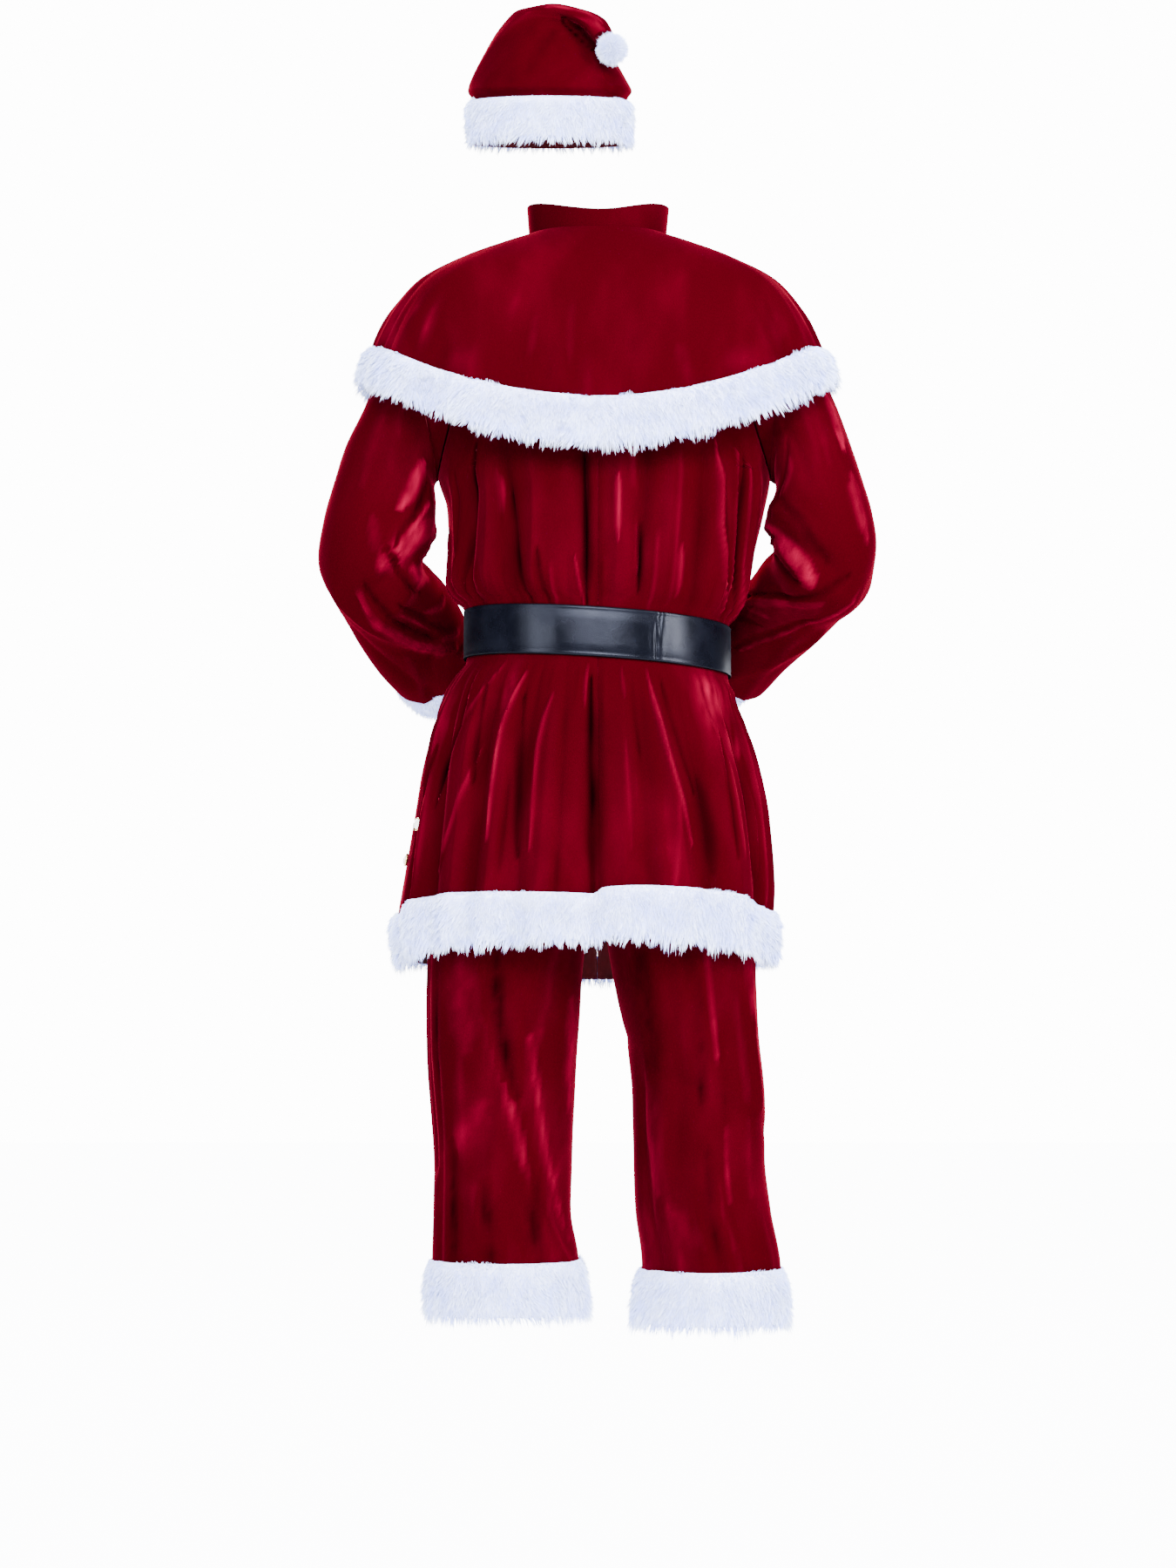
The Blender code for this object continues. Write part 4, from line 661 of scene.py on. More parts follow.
# the large folds
coatFolds = [
    # back of the skirt, from the wearer's left to the right
    (84, 70, 1, 0.56, -15, 6.5), (72, 60, 1.02, 0.64, 7, 4.2), (60, 50, 1.02, 0.64, -7, 3.8),
    (46, 43, 1.02, 0.56, 6.5, 3.8), (38, 37, 1.02, 0.7, -5.5, 3.2), (31, 33, 1.02, 0.56, 6.5, 3.4),
    (23, 24, 1.02, 0.56, -5.5, 3.6), (15, 18, 1.02, 0.6, 4.5, 3.6), (1, 1, 1.02, 0.56, -9, 3.4),
    (-9, -8, 1.02, 0.56, 5, 4.2), (-16, -18, 1.02, 0.7, -4, 4), (-21, -30, 1.02, 0.7, 6.5, 3.3),
    (-33, -42, 1.02, 0.56, -5, 4.2), (-43, -54, 1.02, 0.56, 7, 5.5), (-60, -63, 1.02, 0.56, -6, 4.5),
    (-77, -75, 1.02, 0.56, 6, 5),
    # back of the body, above the belt
    (64, 66, 1.265, 1.08, 6, 4.2), (51, 57, 1.265, 1.08, -8, 3.6), (42, 46, 1.265, 1.08, 5.5, 3.8),
    (34, 33, 1.32, 1.08, -4.5, 3.6), (23, 25, 1.3, 1.08, 5, 3.4), (6, 3.5, 1.4, 1.08, -8.5, 3.4),
    (-7, -7, 1.32, 1.08, 6, 3.4), (-15, -16, 1.34, 1.08, -4.5, 3.6), (-24, -25, 1.3, 1.08, 4.5, 3.8),
    (-34, -42, 1.32, 1.08, -5.5, 3.8), (-40, -56, 1.275, 1.08, 7, 3.4), (-50, -68, 1.275, 1.08, -6.5, 3.6),
    (-61, -80, 1.275, 1.08, 6.5, 3.8),
    # front of the skirt
    (104, 100, 1, 0.56, 8, 8), (124, 118, 1.02, 0.6, -7, 6), (138, 135, 1.02, 0.56, 6, 6),
    (153, 151, 1.02, 0.64, -5, 6), (-104, -100, 1.02, 0.56, -6, 6.5), (-120, -118, 1.02, 0.6, 6.5, 6.5),
    (-138, -136, 1.02, 0.56, -6, 6), (-152, -151, 1.02, 0.64, 5, 6),
    # front of the body
    (113, 116, 1.265, 1.08, -5.5, 6), (130, 132, 1.265, 1.08, 6, 6), (148, 147, 1.33, 1.08, -5, 6),
    (-110, -114, 1.265, 1.08, 5, 6), (-127, -130, 1.265, 1.08, -5.5, 6), (-146, -146, 1.33, 1.08, 5.5, 6),
]
# finer folds at the sides and in front
fineFolds = [
    (67, 62, 1.015, 0.76, 3.6, 1.8), (28, 29, 0.9, 0.76, -3, 1.4), (11, 12, 1.012, 0.72, -2.6, 1.8),
    (-13.5, -15, 1.016, 0.9, -3, 1.3), (-27, -24, 0.88, 0.74, 2.4, 2), (-49, -52, 0.93, 0.79, 3, 1.5),
    (-57, -60, 1, 0.76, -3.6, 1.6), (-70, -68, 1.015, 0.72, 3.6, 1.8), (17.5, 17, 1.14, 1.082, 2.4, 1.2),
    (-21, -21.5, 1.18, 1.084, 2, 1.4), (-26.5, -29.5, 1.29, 1.086, 1.6, 1.6), (78, 76, 1.2, 1.086, 3.6, 2),
    (97, 96, 1.18, 1.086, -3.4, 2.2), (112, 110, 1.015, 0.78, 4, 2), (131, 128, 1.015, 0.74, -3.6, 1.9),
    (146, 143, 1.01, 0.8, 4, 1.8), (160, 158, 1.015, 0.78, -3, 2), (-112, -111, 1.015, 0.76, 3.6, 2),
    (-129, -127, 1.015, 0.79, -3.6, 1.9), (-145, -143, 1.01, 0.74, 4.2, 1.8), (-163, -162, 1.015, 0.8, 3, 2),
    (122, 124, 1.22, 1.086, 4, 1.9), (139, 140, 1.26, 1.086, -3.6, 1.8), (157, 156, 1.24, 1.086, 3.4, 1.8),
    (-119, -122, 1.23, 1.086, -3.6, 1.9), (-137, -138, 1.26, 1.086, 4.2, 1.8), (-156, -155, 1.24, 1.086, -3.4, 1.8),
]
# bent folds on the back: rise in mm, painted shading (painted highlight above zero, painted shade below), half width
# in mm, then height and turn along each
coatMarks = [
    (-6.2, -0.95, 3, ((1.3, 4.6), (1.18, 4.4), (1.086, 4.6))),
    (-4.4, -0.85, 4.2, ((1.285, 45.5), (1.192, 53), (1.1, 62))),
    (-3.8, -0.85, 4, ((1.225, 33), (1.15, 30.5), (1.088, 28))), (-3, -0.75, 3.4, ((1.15, 22.5), (1.088, 20))),
    (3, 0.42, 2.4, ((1.146, 8.5), (1.096, 5.8))), (3.6, 0.55, 2.8, ((1.24, -6.4), (1.165, -7))),
    (2, 0.16, 4, ((1.28, -11), (1.215, -13))), (3, 0.34, 2.4, ((1.19, -13.2), (1.12, -14.4))),
    (-4, -0.7, 2.8, ((1.185, -15), (1.11, -16))), (2.6, 0.26, 3.4, ((1.16, -30.6), (1.11, -31.8))),
    (3.6, 0.46, 3.4, ((1.285, -40), (1.268, -40.5), (1.188, -45.5), (1.136, -52), (1.104, -61.5))),
    (-4.6, -0.85, 3.6, ((1.235, -44.4), (1.188, -48), (1.136, -54.5), (1.11, -62))),
    (3.4, 0.36, 3.4, ((1.275, -50), (1.212, -53), (1.156, -57.5), (1.104, -67.5))),
    (-3.8, -0.75, 3.4, ((1.27, -54), (1.2, -58), (1.15, -62), (1.104, -72))),
    (3, 0.24, 3.6, ((1.26, -57), (1.196, -62.5), (1.148, -66.5), (1.108, -76.5))),
    (1.6, 0.12, 5, ((1.25, 37), (1.19, 36))), (-2.6, -0.5, 4, ((1.25, 60), (1.17, 64), (1.11, 70))),
    (4.2, 0.5, 2.8, ((1.008, 28.5), (0.982, 30.4), (0.95, 32), (0.912, 33), (0.86, 33.4), (0.815, 33.2))),
    (-4.6, -0.7, 5, ((0.985, 27), (0.9, 25.6), (0.79, 23.8))),
    (3.4, 0.28, 2.8, ((0.985, 16), (0.955, 18.2), (0.92, 19.6), (0.87, 20.2), (0.8, 20))),
    (3.4, 0.26, 2.8, ((1.012, 41), (0.985, 46), (0.96, 50))), (3.6, 0.34, 3, ((0.925, 39), (0.856, 46), (0.785, 53))),
    (-4, -0.75, 3.6, ((1.005, 55), (0.95, 52), (0.905, 58), (0.86, 60))),
    (-3.4, -0.6, 3, ((1, 44.5), (0.94, 42), (0.88, 41))), (-3.2, -0.6, 3.6, ((0.93, 64), (0.86, 68), (0.79, 70))),
    (2.8, 0.26, 2.4, ((1.016, 4.2), (0.99, 4.4), (0.968, 4.2))), (2.8, 0.22, 2.2, ((1.016, -9.5), (0.985, -10.5))),
    (-5, -0.9, 3.6, ((1.01, 2.8), (0.88, 2.2), (0.74, 1.6))),
    (4.2, 0.46, 2.6, ((1.02, -20), (0.985, -21.6), (0.94, -23.2), (0.9, -25.2), (0.86, -27.6), (0.805, -30.4))),
    (-3.4, -0.6, 3.6, ((1.01, -26), (0.94, -29), (0.87, -33))),
    (-2.6, -0.45, 8, ((0.89, -35), (0.83, -38), (0.775, -39))),
    (1.8, 0.12, 2.6, ((0.925, -9.5), (0.86, -10), (0.8, -10.5))),
    (-3, -0.55, 3, ((0.95, -49), (0.88, -47), (0.8, -48))), (3, 0.22, 2.8, ((0.9, -62), (0.84, -64), (0.78, -63))),
]
# short puckers that the belt presses in, above and below it
puckers = []
chance = np.random.default_rng(7)
for turn in range(-178, 180, 5):
    for top, low in ((1.150, 1.084), (1.022, 0.965)):
        reach = chance.uniform(-0.016, 0.016)
        puckers.append((turn + chance.uniform(-1.5, 1.5), turn + chance.uniform(-1.5, 1.5),
                        top + (reach if top > 1.05 else 0), low - (0 if top > 1.05 else reach),
                        chance.uniform(0.6, 1.8) * chance.choice((-1, 1)), chance.uniform(1.0, 1.9)))


def coatRing(turn, height, detail=1):
    # detail: 0 smooth, 1 with the large folds, 2 with all of them
    left, right, back, front, backRise, frontRise, tilt, square = columnsOf(coatSections, height)
    x, y, outX, outY = oval(turn, left, right, back, front, square)
    c = np.cos(np.radians(turn))
    rise = np.where(c >= 0, backRise, frontRise) * c * c
    if detail:
        out = foldRise(coatFolds, turn, height)
        if detail > 1:
            out = out + foldRise(fineFolds + puckers, turn, height)
            out = out + pathMarks(coatMarks, height, turn, *coatSpans, 0)
        x, y = x + outX * out, y + outY * out
    return place(x, y, height + rise + tilt * x)


def coatOut(turn, height, detail=1):
    return -normalsOf(lambda t, h: coatRing(t, h, detail), turn, height, 0.4, 0.003)


def armholeLimit(height, behind):
    # where a panel stops: its side seam, or the edge of the armhole
    sizes = coatSections(height)
    left, deep, square = sizes[..., 1], sizes[..., 3 if behind else 4], sizes[..., 8]
    up = (height - coat["armholeHeight"]) / coat["armholeTall"]
    y = coat["armholeDeep"] * np.sqrt(np.clip(1 - up * up, 0, 1)) + cloth["gap"]
    share = np.minimum(0.999, y / deep)
    edge = np.degrees(np.arctan2((1 - share**square) ** (1 / square), share))
    return np.where(np.abs(up) < 0.99999, edge, 90 - np.degrees(cloth["gap"] / 2 / left))


def panelTurns(height, side, behind, columns):
    centre = np.degrees(cloth["gap"] / 2 / coatSections(height)[..., 1])[:, None]
    limit = armholeLimit(height, behind)[:, None]
    share = np.linspace(0, 1, columns + 1)
    turns = centre + (90 - centre) * share - (90 - limit) * share * share
    return side * (turns if behind else 180 - turns)


def dipAtSeams(points, out, sides=(True, True)):
    # cloth rolls in where it meets a seam
    length = np.cumsum(np.linalg.norm(np.diff(points, axis=1, prepend=points[:, :1]), axis=-1), 1)
    dip = np.zeros(length.shape)
    for on, d in zip(sides, (length, length[:, -1:] - length)):
        if on:
            dip += cloth["seamDip"] * rounded(d / cloth["seamWidth"])
    return points - out * dip[..., None]


def coatHeights():
    steps = np.pi * np.arange(coat["armholeSteps"] + 1) / coat["armholeSteps"]
    hole = coat["armholeHeight"] - coat["armholeTall"] * np.cos(steps)
    return np.concatenate([*(np.linspace(*span) for span in coat["rows"]), hole,
                           np.linspace(coat["holeTop"], coat["neckEdge"], coat["neckRows"])])


# how strongly the folds get a painted highlight on their ridges and painted shade in their hollows
paintedShadingShares = {"broad": (0.03, 0.42), "fine": (0.34, 0.80)}
# patches of painted highlight: turn, height, half turn, half height, strength
paintedHighlightPatches = [
    (-54, 0.974, 9.5, 0.044, 0.72), (-48, 1.004, 6.0, 0.018, 0.40), (-60, 0.936, 6.0, 0.024, 0.50),
    (-21, 0.842, 3.5, 0.018, 0.12), (-16, 0.872, 3.0, 0.016, 0.12), (-24, 0.800, 4.0, 0.016, 0.14),
    (36, 1.225, 2.0, 0.025, 0.35), (34, 0.985, 2.4, 0.022, 0.35), (-70, 0.890, 5.0, 0.030, 0.35),
    (61, 0.955, 5.0, 0.030, 0.3), (104, 0.940, 6.0, 0.035, 0.5), (140, 0.900, 5.0, 0.040, 0.4),
    (-108, 0.980, 6.0, 0.035, 0.5), (-135, 0.880, 5.0, 0.035, 0.35), (125, 1.180, 5.0, 0.030, 0.4),
    (-122, 1.200, 5.0, 0.030, 0.4), (150, 1.280, 6.0, 0.035, 0.3), (-146, 1.300, 6.0, 0.030, 0.3),
]


def coatPaintedShading(turns, rows, points, seed):
    # painted highlight on the ridges of the folds and in patches, painted shade in their hollows
    broad = foldRise(coatFolds, turns, rows, rounded, True)
    fine = foldRise(fineFolds, turns, rows, line, True)
    (ridge, hollow), (fineRidge, fineHollow) = paintedShadingShares["broad"], paintedShadingShares["fine"]
    nap = np.where(broad > 0, ridge, hollow) * broad + np.where(fine > 0, fineRidge, fineHollow) * fine
    nap = nap + markedPaintedShading(coatMarks, rows, turns, *coatSpans, rounded)
    broken, streaks = paintedShadingNoise(points, "coatPatches", seed + 3), paintedShadingNoise(points, "coatStreaks", seed + 4)
    for turn, height, wide, tall, strength in paintedHighlightPatches:
        off = np.hypot((turns - turn) / wide, (rows - height) / tall)
        nap = nap + strength * rounded(off) * np.clip(streaks, 0, 1.3)
    return nap * np.clip(broken, 0.2, 1.2)


def coatPanel(name, side, behind, seed):
    height = coatHeights()
    turns = panelTurns(height, side, behind, coat["backColumns" if behind else "frontColumns"])
    rows = height[:, None] + 0 * turns
    outer, out = coatRing(turns, rows, 2), coatOut(turns, rows, 2)
    calm = ease(np.abs(rows - coat["waist"]) / 0.05 - 0.6) * ease((coat["neckEdge"] - rows) / 0.03)
    outer = dipAtSeams(roughened(outer, out, coat, seed, calm), out)
    return clothShell(name + "_velvet", [name], outer, outer - out * cloth["thickness"],
                      nap=coatPaintedShading(turns, rows, outer, seed))


coatPanels = {}
for label, side in bothSides:
    for where in ("back", "front"):
        name = f"coat_{where}_{label}"
        coatPanels[name] = coatPanel(name, side, where == "back", 11 + len(coatPanels))

print("coat panels ready")

hem = {"thick": 0.0145, "topDrop": 0.003, "lowRise": 0.008, "lowShare": 0.5}
# how far the top edge of the hem's fur lies above its line, by turn
hemTop = smoothTable([
    (-180, 0.000), (-120, 0.003), (-90, -0.004), (-74, -0.006), (-58, 0.001), (-40, 0.006), (-20, 0.006),
    (-8, 0.004), (-0.5, 0.001), (0.5, -0.005), (12, -0.003), (28, 0.001), (48, 0.005), (66, 0.003), (84, -0.008),
    (120, 0.003), (180, 0.000)])


hemEnd = math.degrees(cloth["gap"] / 2 / 0.17)
for label, side in bothSides:
    around = side * np.linspace(hemEnd, 180 - hemEnd, 150)
    lift = hemTop(around)[:, 1]
    edges = (coat["furTop"] - hem["topDrop"] + lift, coat["furLow"] + hem["lowRise"] + hem["lowShare"] * lift)
    furTrim(f"hem_fur_{label}_pile", f"hem_fur_{label}", coatRing,
                            lambda t, h: coatOut(t, h, 0), around, edges, hem["thick"], False, 31 + side)


# the collar

collar = {"tall": 0.045, "lean": 0.004, "end": 176, "rows": 14, "columns": 150, "backDip": 0.020, "backWide": 48,
          "frontDip": 0.014, "frontFrom": 130, "wave": 0.0006, "waves": 7}


def collarFace(turn, up):
    left, right, back, front, square = coatSections(coat["neckEdge"])[[1, 2, 3, 4, 8]]
    grow = collar["lean"] * up
    x, y, outX, outY = oval(turn, left + grow, right + grow, back + grow, front + grow, square)
    front = ease((np.abs(turn) - collar["frontFrom"]) / (collar["end"] - collar["frontFrom"]))
    dip = (collar["backDip"] * rounded(turn / collar["backWide"]) + collar["frontDip"] * front) * up
    wave = collar["wave"] * np.sin(np.radians(turn * collar["waves"])) * up
    x, y = x + outX * wave, y + outY * wave
    height = coat["neckEdge"] + cloth["gap"] + collar["tall"] * up - dip
    return place(x, y, height), np.stack((outX, outY, 0 * outX), -1)


turns = np.linspace(-collar["end"], collar["end"], collar["columns"])[None, :]
up = np.linspace(0, 1, collar["rows"])[:, None]
turns, up = np.broadcast_arrays(turns, up)
outer, out = collarFace(turns, up)
collarCloth = clothShell("coat_collar_velvet", ["coat_collar"], outer, outer - out * cloth["thickness"])
print("collar ready")


# the sleeves

sleeve = {"sides": 96, "headRows": 12, "rows": 120, "end": 12.0, "furTop": 11.95, "furLow": 12.95, "furThick": 0.012,
          "crook": 7.0, "crookReach": 2.2, "tuck": 0.56, "seamAt": 172, "seamDeep": 0.0012, "uneven": 0.0006,
          "unevenSize": 0.045, "gatherFrom": 11.6, "gatherIn": 0.35, "gather": {"left": 0.10, "right": 0.32}}
# the metres that one step along and one degree round a sleeve stand for
sleeveSpans = 0.032, math.radians(1) * 0.065
# outer x, outer height, inner x, inner height, y, half depth, from the armhole to the cuff
sleeveRows = {
    "left": [
        (0.196, 1.473, 0.1905, 1.257, 0, 0.075), (0.226, 1.446, 0.1925, 1.253, 0, 0.074),
        (0.254, 1.395, 0.193, 1.246, 0.003, 0.071), (0.2755, 1.345, 0.192, 1.233, 0.006, 0.069),
        (0.2975, 1.296, 0.191, 1.213, 0.012, 0.067), (0.312, 1.247, 0.1912, 1.192, 0.018, 0.066),
        (0.324, 1.199, 0.195, 1.174, 0.02, 0.066), (0.3295, 1.162, 0.205, 1.162, 0.01, 0.066),
        (0.318, 1.126, 0.2065, 1.16, -0.016, 0.064), (0.2985, 1.09, 0.1985, 1.157, -0.054, 0.061),
        (0.28, 1.061, 0.1885, 1.15, -0.094, 0.06), (0.26, 1.036, 0.175, 1.13, -0.135, 0.057),
        (0.244, 1.021, 0.16, 1.102, -0.175, 0.0535), (0.222, 1.004, 0.143, 1.074, -0.225, 0.05),
    ],
    "right": [
        (0.197, 1.473, 0.2055, 1.257, 0, 0.075), (0.229, 1.446, 0.2068, 1.255, 0.001, 0.074),
        (0.259, 1.395, 0.2135, 1.2475, 0.006, 0.072), (0.2805, 1.349, 0.2125, 1.235, 0.012, 0.071),
        (0.298, 1.3, 0.206, 1.219, 0.018, 0.07), (0.3115, 1.254, 0.1962, 1.201, 0.023, 0.069),
        (0.322, 1.213, 0.2015, 1.183, 0.025, 0.068), (0.328, 1.175, 0.2068, 1.174, 0.018, 0.067),
        (0.324, 1.133, 0.208, 1.171, -0.006, 0.065), (0.2975, 1.102, 0.2, 1.168, -0.045, 0.062),
        (0.267, 1.076, 0.188, 1.155, -0.09, 0.058), (0.231, 1.048, 0.165, 1.131, -0.135, 0.055),
        (0.2, 1.019, 0.141, 1.106, -0.175, 0.052), (0.164, 0.994, 0.113, 1.082, -0.225, 0.049),
    ],
}
# large creases, then finer ones; 0 degrees is outwards, 90 behind
sleeveCreases = {
    "left": [
        (4, 150, 6.8, 95, 5, 13), (6.2, 160, 7.4, 70, -6, 14), (7.2, 150, 8.4, 60, 5.5, 13),
        (7.6, 40, 11.2, 110, 5, 14), (9, 20, 12, 60, -4, 14),
    ],
    "right": [
        (4.2, 160, 6.4, 105, 4.5, 13), (6, 165, 7.2, 75, -5.5, 14), (7, 160, 7.8, 40, 5.5, 13),
        (8.2, 130, 9.4, 10, -5, 14), (9.6, 20, 12, 80, 4.5, 14),
    ],
}
fineCreases = {
    "left": [
        (1.2, 70, 4.2, 88, 2, 10), (2, 110, 4.6, 104, -2, 10), (8.8, 112, 11.7, 52, -2.4, 8),
        (9.9, 60, 12.2, 40, 2.8, 8), (4.6, -172, 6.8, -112, 4, 8), (5.9, -176, 7.4, -106, -3.8, 7),
        (6.8, -174, 8.4, -84, 4.2, 8), (7.8, -160, 10.6, -70, -3.2, 8), (9.2, -150, 12, -92, 3.2, 8),
        (1.6, -70, 4.6, -92, -2.4, 10),
    ],
    "right": [
        (1, 62, 4.4, 80, 2.2, 10), (2.2, 100, 4.8, 96, -2, 10), (9, 130, 11.8, 108, -2.6, 8),
        (9.6, 52, 12, 30, 2.6, 9), (4.4, -170, 6.6, -116, 4, 8), (5.8, -178, 7.2, -110, -3.8, 7),
        (6.6, -172, 8.2, -90, 4.2, 8), (7.7, -164, 10.4, -76, -3.2, 8), (9, -152, 11.8, -86, 3.2, 8),
        (1.8, -64, 4.4, -96, -2.4, 10),
    ],
}
# bent creases where the arm folds: rise in mm, painted shading (painted highlight above zero, painted shade below),
# half width in mm, places along and round the sleeve
sleeveMarks = {
    "left": [
        (3, 0.95, 7.5, ((2.6, 127), (3.8, 119), (4.6, 116), (5.2, 110))),
        (-3.6, -0.8, 4, ((3.5, 136), (4.5, 131), (5.4, 124), (6.2, 115))),
        (2.2, 0.8, 3.4, ((4.2, 141), (5.1, 134), (6, 126), (6.4, 115))),
        (1.4, 0.85, 15, ((4.7, 166), (5.6, 146), (6.3, 126), (6.5, 106))),
        (-4, -0.9, 3.6, ((6.25, 106), (6.5, 121), (7, 133), (8, 138))),
        (3, 0.8, 11, ((6.8, 146), (7.3, 156), (8.2, 160))),
        (4.5, 0.42, 7, ((7.2, 77), (8.2, 73), (9, 74), (9.6, 81), (10.4, 91), (10.8, 106))),
        (-4.6, -0.62, 6.5, ((7, 87), (7.6, 94), (8.4, 90), (9.1, 90), (10, 96))),
        (-3, -0.6, 5, ((7.6, 112), (8.4, 112), (9.2, 108), (10.2, 112))),
        (2.6, 0.32, 4, ((8.8, 116), (9.3, 132), (9.4, 146))), (2.6, 0.5, 3.6, ((10.1, 99), (10.5, 112), (10.7, 126))),
        (-2, -0.4, 3.4, ((10.5, 92), (10.9, 106), (11.1, 118))), (1.8, 0.34, 3, ((8, 100), (8.8, 101), (9.7, 104))),
        (1.6, 0.1, 5, ((5.7, 86), (6.1, 92), (6.3, 101))), (2, 0.05, 7, ((1.4, 62), (3.2, 56), (5, 66))),
        (3.2, 0.55, 9, ((4.6, -166), (5.6, -146), (6.6, -128), (7, -104))),
        (-3.4, -0.7, 5, ((5.4, -168), (6.4, -146), (7.2, -122), (7.6, -100))),
        (3, 0.4, 6, ((7.4, -150), (8.6, -118), (10.2, -96), (11.2, -84))),
    ],
    "right": [
        (1.4, 0.85, 8.5, ((2.9, 27), (3.6, 33), (4.3, 39))), (1.4, 0.6, 10, ((5.1, 42), (5.8, 46), (6.5, 42))),
        (-2.6, -0.6, 4.6, ((2.8, 106), (3.6, 123), (4.4, 138), (5.2, 155))),
        (-4, -0.62, 7.5, ((4.3, 140), (5.5, 124), (6.4, 111), (6.9, 93))),
        (4.2, 0.9, 9.5, ((5.3, 168), (6.4, 150), (7, 124), (7.3, 103))),
        (-5, -0.95, 6.5, ((7.05, 166), (7.25, 140), (7.4, 118))),
        (-4.2, -0.6, 4.8, ((9.8, 140), (8.5, 126), (7.8, 106), (7.45, 86), (7.2, 64))),
        (2.8, 0.2, 8, ((10, 134), (8.9, 120), (8.1, 103), (7.8, 84))),
        (0, 0.13, 30, ((8.2, 90), (9.4, 104), (10.8, 112))), (1.6, 0.3, 3, ((9.9, 124), (9.5, 112), (9.3, 100))),
        (-1.6, -0.35, 3, ((10.6, 128), (10.1, 112), (9.8, 98))),
        (3, 0.48, 3.4, ((10.8, 86), (10, 77), (9.1, 70), (8.3, 62), (7.6, 46))),
        (-2.2, -0.28, 5, ((10.9, 94), (10.1, 85), (9.2, 78), (8.5, 70))),
        (1.4, 0.28, 5, ((3.4, 112), (4, 116), (4.6, 126))), (2, 0.05, 7, ((1.2, 70), (3, 62), (4.6, 66))),
        (3.2, 0.55, 9, ((4.4, -164), (5.4, -148), (6.4, -126), (6.9, -106))),
        (-3.4, -0.7, 5, ((5.2, -166), (6.2, -148), (7, -124), (7.5, -98))),
        (3, 0.4, 6, ((7.2, -152), (8.4, -120), (10, -98), (11, -80))),
    ],
}
sleeveSections = {label: smoothTable(rows, range(len(rows))) for label, rows in sleeveRows.items()}


def sleeveSection(label, along):
    outerX, outerHigh, innerX, innerHigh, y, deep = np.moveaxis(sleeveSections[label](along), -1, 0)
    outer, inner = np.stack((outerX, y, outerHigh), -1), np.stack((innerX, y, innerHigh), -1)
    return (outer + inner) / 2, (outer - inner) / 2, deep[..., None]


def sleeveMiddle(label, side, angle, along):
    centre = sleeveSection(label, along + 0 * angle)[0]
    return place(side * centre[..., 0], centre[..., 1], centre[..., 2])


def sleeveFace(label, side, angle, along, detail=1):
    # drawn for the left side, then turned over for the right
    angle, along = np.broadcast_arrays(angle, along)
    centre, out, deep = sleeveSection(label, along)
    ahead = sleeveSection(label, along + 0.3)[0] - sleeveSection(label, along - 0.3)[0]
    behind = unit(np.cross(out, ahead)) * deep
    head = np.clip(1 - along, 0, 1)[..., None]
    behind = behind + (np.array((0, 1, 0)) * deep - behind) * head
    s, c = sinAndCos(angle[..., None])
    tuck = sleeve["tuck"] * rounded((along - sleeve["crook"]) / sleeve["crookReach"])[..., None]
    behind = behind * np.where(s < 0, 1 - tuck, 1)
    tube = centre + out * c + behind * s
    high = coat["armholeHeight"] + (coat["armholeTall"] - cloth["gap"]) * c[..., 0]
    y = (coat["armholeDeep"] - cloth["gap"]) * s[..., 0]
    ring = coatSections(coat["armholeHeight"] + coat["armholeTall"] * c[..., 0])
    share = np.abs(y) / np.where(y >= 0, ring[..., 3], ring[..., 4])
    x = ring[..., 1 if label == "left" else 2] * (1 - share ** ring[..., 8]) ** (1 / ring[..., 8])
    edge = np.stack((x + cloth["gap"], y, high), -1)
    points = tube + (edge - tube) * head
    if detail:
        rise = creaseRise(sleeveCreases[label], along, angle, *sleeveSpans)
        if detail > 1:
            rise = rise + creaseRise(fineCreases[label], along, angle, *sleeveSpans)
            rise = rise + pathMarks(sleeveMarks[label], along, angle, *sleeveSpans, 0)
            rise = rise - sleeve["seamDeep"] * rounded(wrapped(angle - sleeve["seamAt"]) / 4)
        points = points + unit(points - centre) * rise[..., None]
    return place(side * points[..., 0], points[..., 1], points[..., 2])


def sleeveOut(label, side, angle, along, detail=1):
    n = normalsOf(lambda a, v: sleeveFace(label, side, a, v, detail), angle, along, 2.0, 0.05)
    away = sleeveFace(label, side, angle, along, detail) - sleeveMiddle(label, side, angle, along)
    return n * np.sign((away * n).sum())


def cuffFace(label, side, angle, along):
    # the sleeve is gathered into its cuff
    points, middle = sleeveFace(label, side, angle, along, 0), sleeveMiddle(label, side, angle, along)
    gather = sleeve["gather"][label] * ease((along - sleeve["gatherFrom"]) / sleeve["gatherIn"])
    return middle + (points - middle) * (1 - gather)[..., None]


def brokenPaintedShading(points, nap, seed):
    # breaks the painted highlights and shade up into patches
    return nap * np.clip(paintedShadingNoise(points, "patches", seed) * paintedShadingNoise(points, "specks", seed + 1), 0.2, 1.2)


def sleevePaintedShading(label, angle, along, points, seed):
    # painted highlight along some creases and painted shade along others
    nap = (0.78 * markedPaintedShading(sleeveMarks[label], along, angle, *sleeveSpans, flatTopped)
           + 0.12 * creaseRise(fineCreases[label], along, angle, *sleeveSpans, line, True))
    return brokenPaintedShading(points, nap, seed)


